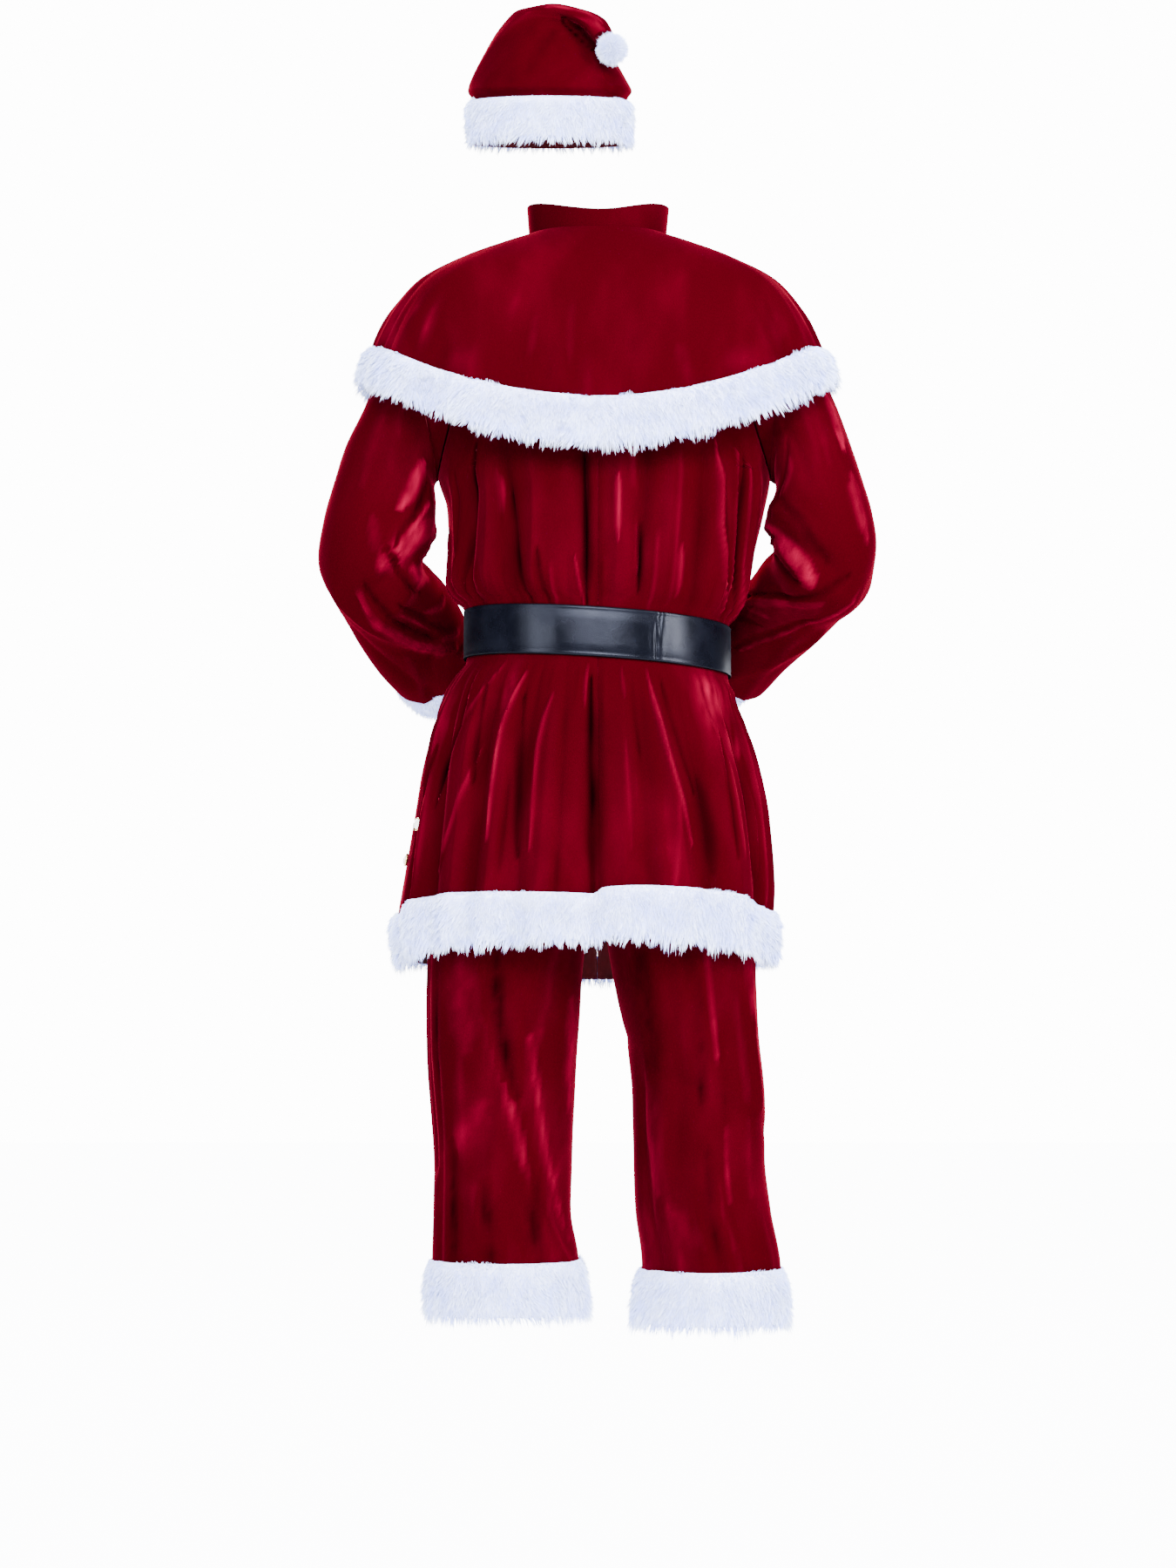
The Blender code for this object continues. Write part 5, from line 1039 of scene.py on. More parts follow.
sleeves, cuffFur = {}, {}
for label, side in bothSides:
    angle = np.arange(0, 360, 360 / sleeve["sides"])[None, :]
    along = np.concatenate((np.linspace(0, 1, sleeve["headRows"]), np.linspace(1, sleeve["end"], sleeve["rows"])[1:]))
    angle, along = np.broadcast_arrays(angle, along[:, None])
    outer, out = sleeveFace(label, side, angle, along, 2), sleeveOut(label, side, angle, along, 2)
    calm = ease(along / 1.5) * ease((sleeve["end"] - along) / 0.6)
    outer = roughened(outer, out, sleeve, 41 + side, calm)
    sleeves[label] = clothShell(f"sleeve_{label}_velvet", [f"sleeve_back_{label}", f"sleeve_front_{label}"], outer,
                                outer - out * cloth["thickness"], True,
                                nap=sleevePaintedShading(label, angle, along, outer, 45 + side))
    cuffFur[label] = furTrim(f"cuff_fur_{label}_pile", f"cuff_fur_{label}",
                             lambda a, v: cuffFace(label, side, a, v), lambda a, v: sleeveOut(label, side, a, v, 0),
                             np.arange(0, 360, 6.0), (sleeve["furTop"], sleeve["furLow"]), sleeve["furThick"], True,
                             51 + side, strandsPerArea=240000.0)
print("sleeves ready")


# the cape

cape = {"columns": 220, "rows": 52, "opening": 1.2, "edge": 0.96, "furTop": 0.806, "furLow": 1.002, "furThick": 0.0145,
        "neckEase": 0.0029, "uneven": 0.0007, "unevenSize": 0.07}
neck = coatSections(coat["neckEdge"]) + cape["neckEase"]
# along, half width, back, front, height at the side, behind and in front, squareness
capeRows = [
    (0, neck[1], neck[3], neck[4], 1.549, 1.545, 1.543, 2.05), (0.12, 0.122, 0.096, 0.087, 1.537, 1.522, 1.516, 2.1),
    (0.26, 0.168, 0.119, 0.108, 1.519, 1.496, 1.488, 2.2), (0.4, 0.211, 0.139, 0.129, 1.496, 1.46, 1.452, 2.25),
    (0.53, 0.236, 0.152, 0.144, 1.47, 1.42, 1.413, 2.3), (0.66, 0.253, 0.161, 0.156, 1.443, 1.375, 1.37, 2.3),
    (0.8, 0.266, 0.166, 0.162, 1.415, 1.324, 1.322, 2.3), (0.92, 0.274, 0.171, 0.167, 1.388, 1.285, 1.285, 2.3),
    (1.05, 0.2815, 0.175, 0.171, 1.357, 1.245, 1.245, 2.3),
]
capeSections = smoothTable(capeRows)
capeFolds = [
    (66, 74, 1.56, 1.25, -5, 6), (50, 56, 1.56, 1.25, 4.5, 7), (20, 22, 1.56, 1.25, -3, 8),
    (-12, -14, 1.56, 1.25, 3, 8), (-36, -38, 1.56, 1.25, -3.5, 7), (-58, -62, 1.56, 1.25, 4.5, 6),
    (-72, -80, 1.56, 1.25, -4.5, 6), (120, 122, 1.56, 1.25, 5, 8), (146, 146, 1.56, 1.25, -4, 8),
    (-118, -120, 1.56, 1.25, -4.5, 8), (-144, -145, 1.56, 1.25, 4.5, 8),
]
fineCapeFolds = [
    (80, 84, 1.48, 1.3, 3, 2.6), (71, 77, 1.5, 1.29, 3.4, 2.2), (61, 66, 1.48, 1.28, -3, 2.4),
    (54, 60, 1.46, 1.27, 3.2, 2.6), (40, 45, 1.42, 1.26, -2.6, 3), (31, 34, 1.4, 1.25, 2.4, 3),
    (12, 14, 1.4, 1.25, -2, 3.4), (3, 2, 1.38, 1.25, 2.2, 3), (-20, -24, 1.42, 1.25, 2.6, 3),
    (-27, -30, 1.4, 1.25, -2.6, 2.6), (-44, -49, 1.44, 1.26, 3.4, 2.6), (-51, -56, 1.46, 1.26, -3.2, 2.2),
    (-66, -71, 1.48, 1.28, 3.6, 2.2), (-78, -83, 1.48, 1.3, 3, 2.4), (100, 103, 1.46, 1.3, -3, 3),
    (112, 115, 1.44, 1.27, 3.4, 3), (133, 135, 1.42, 1.26, -3, 3), (156, 157, 1.4, 1.25, 2.8, 3),
    (-100, -104, 1.46, 1.3, 3, 3), (-130, -133, 1.42, 1.26, 3.2, 3), (-157, -158, 1.4, 1.25, -2.8, 3),
]


def capeRing(turn, along, detail=1):
    wide, back, front, sideHigh, backHigh, frontHigh, square = columnsOf(capeSections, along)
    x, y, outX, outY = oval(turn, wide, wide, back, front, square)
    c = np.cos(np.radians(turn))
    height = sideHigh + (np.where(c >= 0, backHigh, frontHigh) - sideHigh) * c * c
    if detail:
        rows = capeFolds + (fineCapeFolds if detail > 1 else [])
        out = foldRise(rows, turn, height) * ease(along * 1.6)
        x, y = x + outX * out, y + outY * out
    return place(x, y, height)


def capeOut(turn, along, detail=1):
    return normalsOf(lambda t, v: capeRing(t, v, detail), turn, along, 0.5, 0.008)


turns = np.linspace(180 - cape["opening"], cape["opening"] - 180, cape["columns"])[None, :]
along = np.concatenate((np.linspace(0, 0.06, 4), np.linspace(0.06, cape["edge"], cape["rows"])[1:]))[:, None]
turns, along = np.broadcast_arrays(turns, along)
outer, out = capeRing(turns, along, 2), capeOut(turns, along, 2)
out = out * outwardSign(outer, out)
outer = roughened(outer, out, cape, 61, ease(along * 4))
# patches of painted highlight (strength above zero) and painted shade (below zero) on the cape: turn, along, half
# turn, half along, strength
capePaintedPatches = [
    (48, 0.63, 1.3, 0.085, 0.24), (35, 0.76, 2.2, 0.040, 0.19), (67, 0.74, 6.0, 0.070, 0.27),
    (72, 0.60, 5.0, 0.090, 0.22), (56, 0.58, 1.4, 0.070, 0.13), (7.5, 0.60, 0.8, 0.080, 0.09),
    (17, 0.62, 0.8, 0.060, 0.08), (24, 0.50, 1.0, 0.060, 0.07), (-37, 0.75, 4.0, 0.040, 0.09),
    (-52, 0.66, 3.0, 0.080, 0.10), (-69, 0.62, 5.0, 0.080, 0.14), (-10, 0.64, 2.4, 0.060, -0.14),
    (-20, 0.60, 3.0, 0.050, -0.10), (12, 0.70, 3.0, 0.060, -0.09), (120, 0.66, 4.0, 0.080, 0.19),
    (146, 0.62, 4.0, 0.070, 0.15), (-124, 0.64, 4.0, 0.080, 0.18), (-150, 0.68, 4.0, 0.070, 0.14),
]
# painted highlight on the ridges of the fine folds and painted shade in their hollows, with the patches above
nap = 0.10 * foldRise(fineCapeFolds, turns, outer[..., 2] + heldHeight, line, True)
for turn, spot, wide, tall, strength in capePaintedPatches:
    nap = nap + strength * np.exp(-((turns - turn) / wide) ** 2 - ((along - spot) / tall) ** 2)
capeCloth = clothShell("cape_velvet", ["cape"], outer, outer - out * cloth["thickness"], nap=brokenPaintedShading(outer, nap, 63))
capeWay = outwardSign(capeRing(turns, along), capeOut(turns, along))
capeTop = smoothTable([(-180, 0.0), (-80, -0.010), (-62, 0.012), (-40, 0.004), (-15, 0.0), (10, 0.004), (40, 0.0),
                       (58, 0.010), (75, -0.008), (180, 0.0)])
around = np.linspace(180 - cape["opening"], cape["opening"] - 180, 300)
lift = capeTop(around)[:, 1]
capeFur = furTrim("cape_fur_pile", "cape_fur", capeRing, lambda t, v: capeOut(t, v, 0) * capeWay, around,
                  (cape["furTop"] - lift, cape["furLow"]), cape["furThick"], False, 71)
print("cape ready")


# the trousers

trousers = {"columns": 40, "furTop": {"left": 0.343, "right": 0.333}, "furLow": {"left": 0.275, "right": 0.265},
            "furThick": 0.014, "clothLow": {"left": 0.288, "right": 0.278}, "legTop": 0.900, "legRise": 0.135,
            "legRows": 84, "bandRows": 6, "bandLow": 1.037, "bandTop": 1.078, "bandThick": 0.003, "sink": 0.0033,
            "uneven": 0.0008, "unevenSize": 0.06}
legSpans = 1.0, math.radians(1) * 0.085
# height, centre, half width, half depth behind and in front, y
legRows = {
    "left": [
        (0.24, 0.105, 0.088, 0.09, 0.088, 0.01), (0.27, 0.1055, 0.087, 0.089, 0.087, 0.01),
        (0.345, 0.107, 0.085, 0.087, 0.086, 0.008), (0.4, 0.111, 0.08, 0.084, 0.085, 0.004),
        (0.463, 0.1105, 0.081, 0.083, 0.085, 0), (0.556, 0.112, 0.0865, 0.088, 0.088, 0),
        (0.634, 0.1105, 0.09, 0.098, 0.094, 0.004), (0.7, 0.107, 0.092, 0.108, 0.099, 0.01),
        (0.765, 0.0975, 0.097, 0.116, 0.104, 0.012), (0.8, 0.078, 0.113, 0.119, 0.109, 0.012),
        (0.85, 0.035, 0.15, 0.122, 0.116, 0.01), (0.91, 0, 0.174, 0.122, 0.122, 0.004),
        (0.97, 0, 0.16, 0.116, 0.122, 0), (1.04, 0, 0.14, 0.106, 0.116, 0),
    ],
    "right": [
        (0.23, 0.13, 0.085, 0.089, 0.087, 0.014), (0.26, 0.13, 0.084, 0.088, 0.086, 0.014),
        (0.335, 0.131, 0.0805, 0.086, 0.085, 0.01), (0.4, 0.1222, 0.079, 0.084, 0.085, 0.004),
        (0.463, 0.1178, 0.0765, 0.083, 0.085, 0), (0.524, 0.1175, 0.0775, 0.086, 0.087, 0),
        (0.587, 0.1118, 0.0778, 0.093, 0.091, 0.002), (0.64, 0.1045, 0.0815, 0.099, 0.095, 0.005),
        (0.7, 0.098, 0.086, 0.108, 0.099, 0.01), (0.765, 0.0935, 0.093, 0.116, 0.104, 0.012),
        (0.8, 0.074, 0.108, 0.119, 0.109, 0.012), (0.85, 0.035, 0.14, 0.122, 0.116, 0.01),
        (0.91, 0, 0.162, 0.122, 0.122, 0.004), (0.97, 0, 0.154, 0.116, 0.122, 0), (1.04, 0, 0.139, 0.106, 0.116, 0),
    ],
}
# large creases, then finer ones; 0 degrees is the centre back of the leg, 90 its outer side
legCreases = {
    "left": [
        (0.76, -35, 0.42, 10, 5, 16), (0.7, -10, 0.36, -60, -4, 14), (0.56, 62, 0.3, 62, -5, 12),
        (0.44, -20, 0.3, -70, 5, 14), (0.76, 80, 0.45, 76, -6, 12),
    ],
    "right": [
        (0.76, -25, 0.4, -40, 4.5, 16), (0.7, 20, 0.34, 30, -4, 16), (0.76, 55, 0.52, 62, 5, 12),
        (0.56, -60, 0.3, -50, -5, 15), (0.48, 5, 0.3, -8, 4, 16),
    ],
}
fineLegCreases = {
    "left": [
        (0.78, -50, 0.52, -20, 3.4, 9), (0.74, -28, 0.6, -6, -3, 8), (0.7, 30, 0.42, 34, 3, 10),
        (0.62, 12, 0.4, -30, 3.4, 9), (0.56, -4, 0.34, -50, -3.4, 8), (0.52, 46, 0.32, 40, -3, 9),
        (0.47, -62, 0.33, -20, 3.6, 9), (0.43, 24, 0.3, 6, 3, 9), (0.4, -8, 0.3, -36, -2.8, 8),
        (0.38, 74, 0.29, 66, 3, 8), (0.76, 130, 0.48, 150, 3.6, 10), (0.64, 170, 0.42, 140, -3.4, 9),
        (0.54, -150, 0.32, -170, 3.6, 9), (0.46, 120, 0.3, 160, 3.4, 9),
    ],
    "right": [
        (0.78, -44, 0.48, -50, 3.6, 9), (0.74, 8, 0.56, -2, 3.4, 9), (0.7, -12, 0.46, -20, -3.4, 8),
        (0.64, 40, 0.42, 46, 3.4, 10), (0.6, 22, 0.38, 20, -3, 9), (0.52, -40, 0.32, -26, 3.6, 9),
        (0.47, -66, 0.31, -44, -3.4, 8), (0.43, 12, 0.29, 26, 3.2, 9), (0.41, 60, 0.29, 72, -3, 9),
        (0.39, -14, 0.29, 2, -2.8, 8), (0.76, 140, 0.5, 126, 3.6, 10), (0.64, -160, 0.44, 166, -3.4, 9),
        (0.56, -130, 0.34, -150, 3.6, 9), (0.45, 150, 0.3, 130, -3.4, 9),
    ],
}
# bent creases: rise in mm, painted shading (painted highlight above zero, painted shade below), half width in mm, then
# height and angle along each
legMarks = {
    "left": [
        (1.2, 0.15, 16, ((0.68, 34), (0.632, 31), (0.585, 27))),
        (1, 0.18, 16, ((0.522, 14), (0.495, 24), (0.472, 44))),
        (-3, -0.69, 8, ((0.71, 6), (0.66, 3), (0.604, -1), (0.532, -12))),
        (2.4, 0.3, 6, ((0.545, -4), (0.48, -16), (0.445, -21))),
        (2.8, 0.34, 5, ((0.6, -22), (0.564, -27), (0.512, -34), (0.46, -41), (0.416, -54), (0.37, -68))),
        (1, 0.38, 10, ((0.64, -62), (0.588, -67), (0.52, -69))),
        (-3, -0.69, 6, ((0.48, 43), (0.42, 43), (0.345, 43))), (-2.2, -0.5, 9, ((0.43, 12), (0.335, 10))),
        (-2.2, -0.5, 9, ((0.43, -29), (0.335, -28))), (-2.8, -0.75, 5, ((0.74, 56), (0.6, 58), (0.47, 60))),
        (2.6, 0.3, 7, ((0.72, 134), (0.6, 140), (0.48, 152))),
        (-2.6, -0.56, 8, ((0.7, 160), (0.56, 156), (0.42, 166))),
        (2.4, 0.3, 6, ((0.56, 196), (0.44, 186), (0.34, 200))), (1.2, 0.17, 16, ((0.62, 176), (0.56, 180))),
        (-2.6, -0.56, 7, ((0.48, 214), (0.38, 206), (0.32, 210))),
    ],
    "right": [
        (-1.6, -0.53, 20, ((0.69, -35), (0.652, -38), (0.56, -45))),
        (2, 0.28, 9, ((0.53, -54), (0.48, -48), (0.42, -42))), (1.2, 0.14, 16, ((0.4, -62), (0.33, -66))),
        (1.8, 0.3, 3.6, ((0.72, 16), (0.672, 17), (0.572, 18))),
        (1.8, 0.3, 3.6, ((0.51, 25), (0.492, 24), (0.41, 22))), (2, 0.38, 5, ((0.71, 56), (0.66, 58), (0.61, 63))),
        (0.8, 0.11, 12, ((0.4, -26), (0.362, -8))), (-2.4, -0.47, 9, ((0.76, 2), (0.65, 5), (0.52, 0))),
        (-2.4, -0.47, 8, ((0.47, 6), (0.4, 2), (0.33, 8))), (2.6, 0.3, 7, ((0.72, 132), (0.6, 138), (0.48, 128))),
        (-2.6, -0.56, 8, ((0.7, 158), (0.56, 164), (0.42, 158))),
        (2.4, 0.3, 6, ((0.56, 200), (0.44, 206), (0.34, 196))), (1.2, 0.17, 16, ((0.64, 184), (0.57, 178))),
        (-2.6, -0.56, 7, ((0.48, 222), (0.38, 230), (0.32, 226))),
    ],
}
legSections = {label: smoothTable(rows) for label, rows in legRows.items()}


def legFace(label, side, angle, height, detail=1):
    angle, height = np.broadcast_arrays(angle, height)
    centre, wide, back, front, y0 = columnsOf(legSections[label], height)
    s, c = sinAndCos(angle)
    x, y = centre + wide * s, y0 + np.where(c >= 0, back, front) * c
    if detail:
        rise = creaseRise(legCreases[label], height, angle, *legSpans)
        if detail > 1:
            rise = rise + 0.5 * creaseRise(fineLegCreases[label], height, angle, *legSpans)
            rise = rise + pathMarks(legMarks[label], height, angle, *legSpans, 0)
        rise = rise * ease((centre - 0.03) / 0.05)
        x, y = x + rise * s, y + rise * c
    return place(side * x, y, height)


def legOut(label, side, angle, height, detail=1):
    return -side * normalsOf(lambda a, h: legFace(label, side, a, h, detail), angle, height, 2.0, 0.005)


def waistFace(turn, height, depth):
    return coatRing(turn, height) - coatOut(turn, height) * depth


def legPaintedShading(label, angle, height, points, seed):
    # painted highlight along some creases and painted shade along others, with a little random tone
    nap = (1.1 * markedPaintedShading(legMarks[label], height, angle, *legSpans, rounded)
           + 0.16 * creaseRise(fineLegCreases[label], height, angle, *legSpans, line, True)
           + 0.04 * handling(points, 0.05, 1.0, seed + 2))
    return brokenPaintedShading(points, nap, seed)


def legPanel(label, side, behind, seed):
    low, top = trousers["clothLow"][label], trousers["legTop"]
    height = np.concatenate((np.linspace(low, top, trousers["legRows"]),
                             np.linspace(top + 0.02, top + trousers["legRise"], trousers["bandRows"])))
    known = np.minimum(height, top)
    centre, wide = (legSections[label](known)[..., i][:, None] for i in (1, 2))
    gap = np.degrees(cloth["gap"] / 2 / wide)
    share = (centre - cloth["gap"] / 2) / wide
    start = np.where(share >= 1, gap - 90, -np.degrees(np.arcsin(np.clip(share, 0, 1))))
    angle = start + (90 - gap - start) * np.linspace(0, 1, trousers["columns"] + 1)
    if not behind:
        angle = 180 - angle
    rows = known[:, None] + 0 * angle
    outer, out = legFace(label, side, angle, rows, 2), legOut(label, side, angle, rows, 2)
    outer = roughened(outer, out, trousers, seed, ease((rows - low) / 0.03) * ease((top - 0.03 - rows) / 0.03))
    outer = np.where((rows < top - 0.04)[..., None], dipAtSeams(outer, out), outer)
    inner = outer - out * cloth["thickness"]
    inner[..., 0] = side * np.maximum(side * inner[..., 0], cloth["gap"] / 2)
    hung = side * angle[-1:]
    for grid, depth in ((outer, trousers["sink"]), (inner, trousers["sink"] + cloth["thickness"])):
        band = waistFace(hung, np.full(hung.shape, trousers["bandLow"]), depth) - (0, 0, cloth["gap"])
        grid += (band - grid) * np.clip((height - top) / trousers["legRise"], 0, 1)[:, None, None]
    node = f"trouser_{'back' if behind else 'front'}_{label}"
    return clothShell(node + "_velvet", [node], outer, inner, nap=legPaintedShading(label, angle, rows, outer, seed))


trouserPanels, trouserFur = {}, {}
for label, side in bothSides:
    for behind in (True, False):
        trouserPanels[label, behind] = legPanel(label, side, behind, 81 + len(trouserPanels))
    trouserFur[label] = furTrim(f"trouser_fur_{label}_pile", f"trouser_fur_{label}",
                                lambda a, h: legFace(label, side, a, h), lambda a, h: legOut(label, side, a, h, 0),
                                np.arange(-90, 270, 4.0),
                                (trousers["furTop"][label], trousers["furLow"][label]), trousers["furThick"], True,
                                91 + side, strandsPerArea=240000.0)
turns, rows = np.broadcast_arrays(np.arange(0, 360, 3.0)[None, :],
                                  np.linspace(trousers["bandLow"], trousers["bandTop"], trousers["bandRows"])[:, None])
waistband = clothShell("trouser_waistband_cloth", ["trouser_waistband"], waistFace(turns, rows, trousers["sink"]),
                       waistFace(turns, rows, trousers["sink"] + trousers["bandThick"]), True)
print("trousers ready")


# the hat

hat = {"sides": 80, "rows": 76, "centre": (0.0573, 0.0), "falls": (-0.70, 0.714), "lean": 0.25, "furTop": 1.96,
       "furLow": -0.02, "furThick": 0.0125, "flatBelow": 1.73, "flatTo": 0.09, "uneven": 0.0007, "unevenSize": 0.04}
pompomSizes = {"radius": 0.0205, "gap": 0.0006, "coreShare": 0.66, "reach": 1.12}
pompomFur = {"strandsPerArea": 1500000.0, "strandWidth": 0.0010, "swirl": 0.5, "tuftScale": 260.0, "gather": 0.5,
             "mess": 0.3}
hatSpans = 0.018, math.radians(1) * 0.07
# along the fold: far side, its height, near side, its height, half width
hatRows = [
    (-0.0915, 1.664, 0.0915, 1.664, 0.0915), (-0.0925, 1.695, 0.0925, 1.695, 0.0925),
    (-0.093, 1.718, 0.093, 1.718, 0.093), (-0.0985, 1.729, 0.0985, 1.729, 0.0985),
    (-0.094, 1.743, 0.093, 1.741, 0.094), (-0.083, 1.767, 0.0815, 1.76, 0.083), (-0.07, 1.792, 0.07, 1.777, 0.071),
    (-0.053, 1.813, 0.06, 1.789, 0.06), (-0.023, 1.828, 0.054, 1.796, 0.052), (0.02, 1.8285, 0.056, 1.798, 0.039),
    (0.056, 1.817, 0.065, 1.793, 0.027), (0.082, 1.804, 0.077, 1.783, 0.021), (0.099, 1.785, 0.088, 1.774, 0.0165),
]
# creases in the folded crown: section and angle of each end; 0 degrees is the side that the tip falls to
hatCreases = [
    (4.2, 40, 8, 12, -3.6, 10), (4.4, -36, 8, -10, -2, 10), (5, 70, 8.6, 40, 4, 10), (5.2, -72, 8.8, -38, 3.6, 10),
    (3.6, 110, 7, 86, -3, 11), (3.8, -120, 7.2, -92, 3, 12), (4, 150, 8.4, 128, 3, 12),
    (5.4, 176, 9.4, 160, -2.6, 10), (8.4, 30, 10.8, 70, 2.4, 6), (8.6, -34, 11, -66, -2.4, 6),
    (9, 110, 11.4, 150, -2, 6),
]
# bent creases in the crown: rise in mm, painted shading (painted highlight above zero, painted shade below), half
# width in mm, then section and angle along each
hatMarks = [
    (-3.4, -1, 1.9, ((9.8, -62), (8.4, -32), (6.9, -16), (6, -8), (5.6, 0))),
    (1.6, 0.52, 9, ((9, -92), (10.2, -132), (11.4, -178))), (1.2, 0.38, 7, ((10.4, -84), (11.3, -108), (11.9, -170))),
    (0.6, 0.16, 10, ((3.1, -110), (3, -92), (3.1, -70))), (-1, -0.16, 6, ((4, -62), (5.6, -48), (6.8, -34))),
    (1.4, 0.2, 7, ((6, -96), (7.2, -84), (8.4, -78))), (1.6, 0.26, 6, ((3.8, 150), (5.6, 140), (7.4, 150))),
    (-2, -0.45, 5, ((4, 118), (6, 112), (8.2, 124))), (1.6, 0.26, 6, ((3.8, 70), (5.4, 62), (7, 58))),
]
hatSections = smoothTable(hatRows, range(len(hatRows)))
falls = np.array((*hat["falls"], 0)) / math.hypot(*hat["falls"])
sideways = np.cross((0, 0, 1), falls)


def hatFace(angle, along, creased=False):
    angle, along = np.broadcast_arrays(angle, along)
    outer, outerHigh, inner, innerHigh, across = np.moveaxis(hatSections(along), -1, 0)
    s, c = sinAndCos(angle)
    middle, half = (inner + outer) / 2, (inner - outer) / 2
    if creased:
        rise = 0.7 * creaseRise(hatCreases, along, angle, *hatSpans)
        rise = rise + pathMarks(hatMarks, along, angle, *hatSpans, 0)
        half, across = half + rise, across + rise
    flat = falls[:2] * (middle + half * c)[..., None] + sideways[:2] * (across * s)[..., None]
    x, y = flat[..., 0] + hat["centre"][0], flat[..., 1] + hat["centre"][1]
    height = (innerHigh + outerHigh) / 2 + (innerHigh - outerHigh) / 2 * c
    fade = 1 - ease((height - hat["flatBelow"]) / hat["flatTo"])
    return place(x, y, height - hat["lean"] * fade * y)


def hatOut(angle, along, creased=False):
    return normalsOf(lambda a, v: hatFace(a, v, creased), angle, along, 2.5, 0.05)


angle = np.arange(0, 360, 360 / hat["sides"])[None, :]
last = len(hatRows) - 1
angle, along = np.broadcast_arrays(angle, np.linspace(0, last, hat["rows"])[:, None])
outer, out = hatFace(angle, along, True), hatOut(angle, along, True)
outer = roughened(outer, out, hat, 101, ease((along - 2) / 1.5) * ease((last - along) / 2))
# painted highlight and shade along the crown's creases, with random tone, moved a little towards the painted shade
# colour
nap = markedPaintedShading(hatMarks, along, angle, *hatSpans, rounded) + 0.12 * handling(outer, 0.035, 1.0, 107) - 0.13
inner = outer - hatOut(angle, along) * cloth["thickness"]
crown = clothShell("hat_crown_velvet", ["hat_crown"], outer, inner, True, True, nap=brokenPaintedShading(outer, nap, 109))
hatFur = furTrim("hat_fur_pile", "hat_fur", hatFace, hatOut, np.arange(0, 360, 3.0), (hat["furTop"], hat["furLow"]),
                 hat["furThick"], True, 103, fringe=0.005, ragged=0.08)

before, centre = (hatFace(angle[:1], np.full(angle[:1].shape, end))[0].mean(0) for end in (last - 1.0, float(last)))
centre = centre + unit(centre - before) * (pompomSizes["radius"] + pompomSizes["gap"])
polar, about = np.meshgrid(np.linspace(-90, 90, 19)[1:-1], np.arange(0, 360, 15.0), indexing="ij")
(tall, flat), (s, c) = sinAndCos(polar), sinAndCos(about)
ball = np.stack((flat * c, flat * s, tall), -1).reshape(-1, 3)
points = np.concatenate((ball, [(0, 0, -1), (0, 0, 1)]))
core = pompomSizes["radius"] * pompomSizes["coreShare"]
pompom = addMesh("hat_pompom_pile", centre + points * core, endedFaces(*polar.shape),
                 [finish["furBacking"], finish["furStrand"]])
growFur(pompom, points, np.full(len(points), 1.0), np.ones(len(points)), 105,
        strandLength=(pompomSizes["radius"] - core) * pompomSizes["reach"], **pompomFur)
finishPiece(pompom, "hat_pompom", slot="fur")
print("hat ready")


# the belt, its buckle and the prong across it

belt = {"width": 0.058, "thickness": 0.0030, "middle": 1.060, "tilt": 0.066, "ease": 0.0017, "start": 168.0,
        "end": 570.0, "lapStart": 500.0, "lapEnd": 524.0, "edge": 0.0008, "stitchIn": 0.005, "stitchDeep": 0.0004,
        "stitchWide": 0.0016, "waves": 0.0006, "crease": 334.4, "creaseDeep": 0.0013, "bend": 377.0, "rubWidth": 20.0}
strapNoise = ((0.6, 17.0, 9, 5), (0.4, 6.3, 21, 9))  # share, degrees, how fast it changes upwards, seed
creaseProfile = ((1, 0, 0.55), (-0.45, 1.9, 1.3), (-0.35, -2.2, 1.5))  # strength, place and half width in degrees
buckle = {"wide": 0.082, "tall": 0.076, "bar": 0.009, "thick": 0.0035, "round": 0.0011, "corner": 0.006,
          "prongThick": 0.0026, "prongWide": 0.0045}
lap = belt["thickness"] + 0.0005


def beltFace(turn, up, out):
    left, right, back, front, square = (coatSections(belt["middle"])[i] for i in (1, 2, 3, 4, 8))
    x, y, outX, outY = oval(turn, left, right, back, front, square)
    x, y = x + outX * (belt["ease"] + out), y + outY * (belt["ease"] + out)
    return place(x, y, belt["middle"] + up + belt["tilt"] * x)


def strapSection():
    # up and out all round the strap's section, with a groove for each row of stitches
    half, thick, edge = belt["width"] / 2, belt["thickness"], belt["edge"]
    stitch, wide = belt["stitchIn"], belt["stitchWide"]
    outside = [(-half + edge, thick - 0.0001), (-half + stitch - wide, thick),
               (-half + stitch, thick - belt["stitchDeep"]), (-half + stitch + wide, thick), (-half * 0.45, thick),
               (0, thick)]
    outside += [(-u, o) for u, o in outside[-2::-1]]
    return np.array([(-half, edge), (-half, thick - edge), *outside, (half, thick - edge), (half, edge),
                     (half - edge, 0.0), (0.0, 0.0), (-half + edge, 0.0)])


def strapWaves(turn, up):
    # the soft bends of worn leather; they fade at the strap's edges
    across = 1 - (up / (belt["width"] / 2)) ** 2
    wave = sum(share * softNoise(turn / size, up * change, 0 * turn, seed) for share, size, change, seed in strapNoise)
    wave = wave + 0.7 * rounded((turn - belt["bend"] - 50 * up) / 3.2)
    bent = turn - belt["crease"] + 36 * up - 0.9 * softNoise(up * 150, 0 * up, 0 * turn, 3)
    fold = sum(strength * rounded((bent - spot) / wide) for strength, spot, wide in creaseProfile)
    return belt["waves"] * wave * across - belt["creaseDeep"] * fold * (0.55 + 0.45 * across)


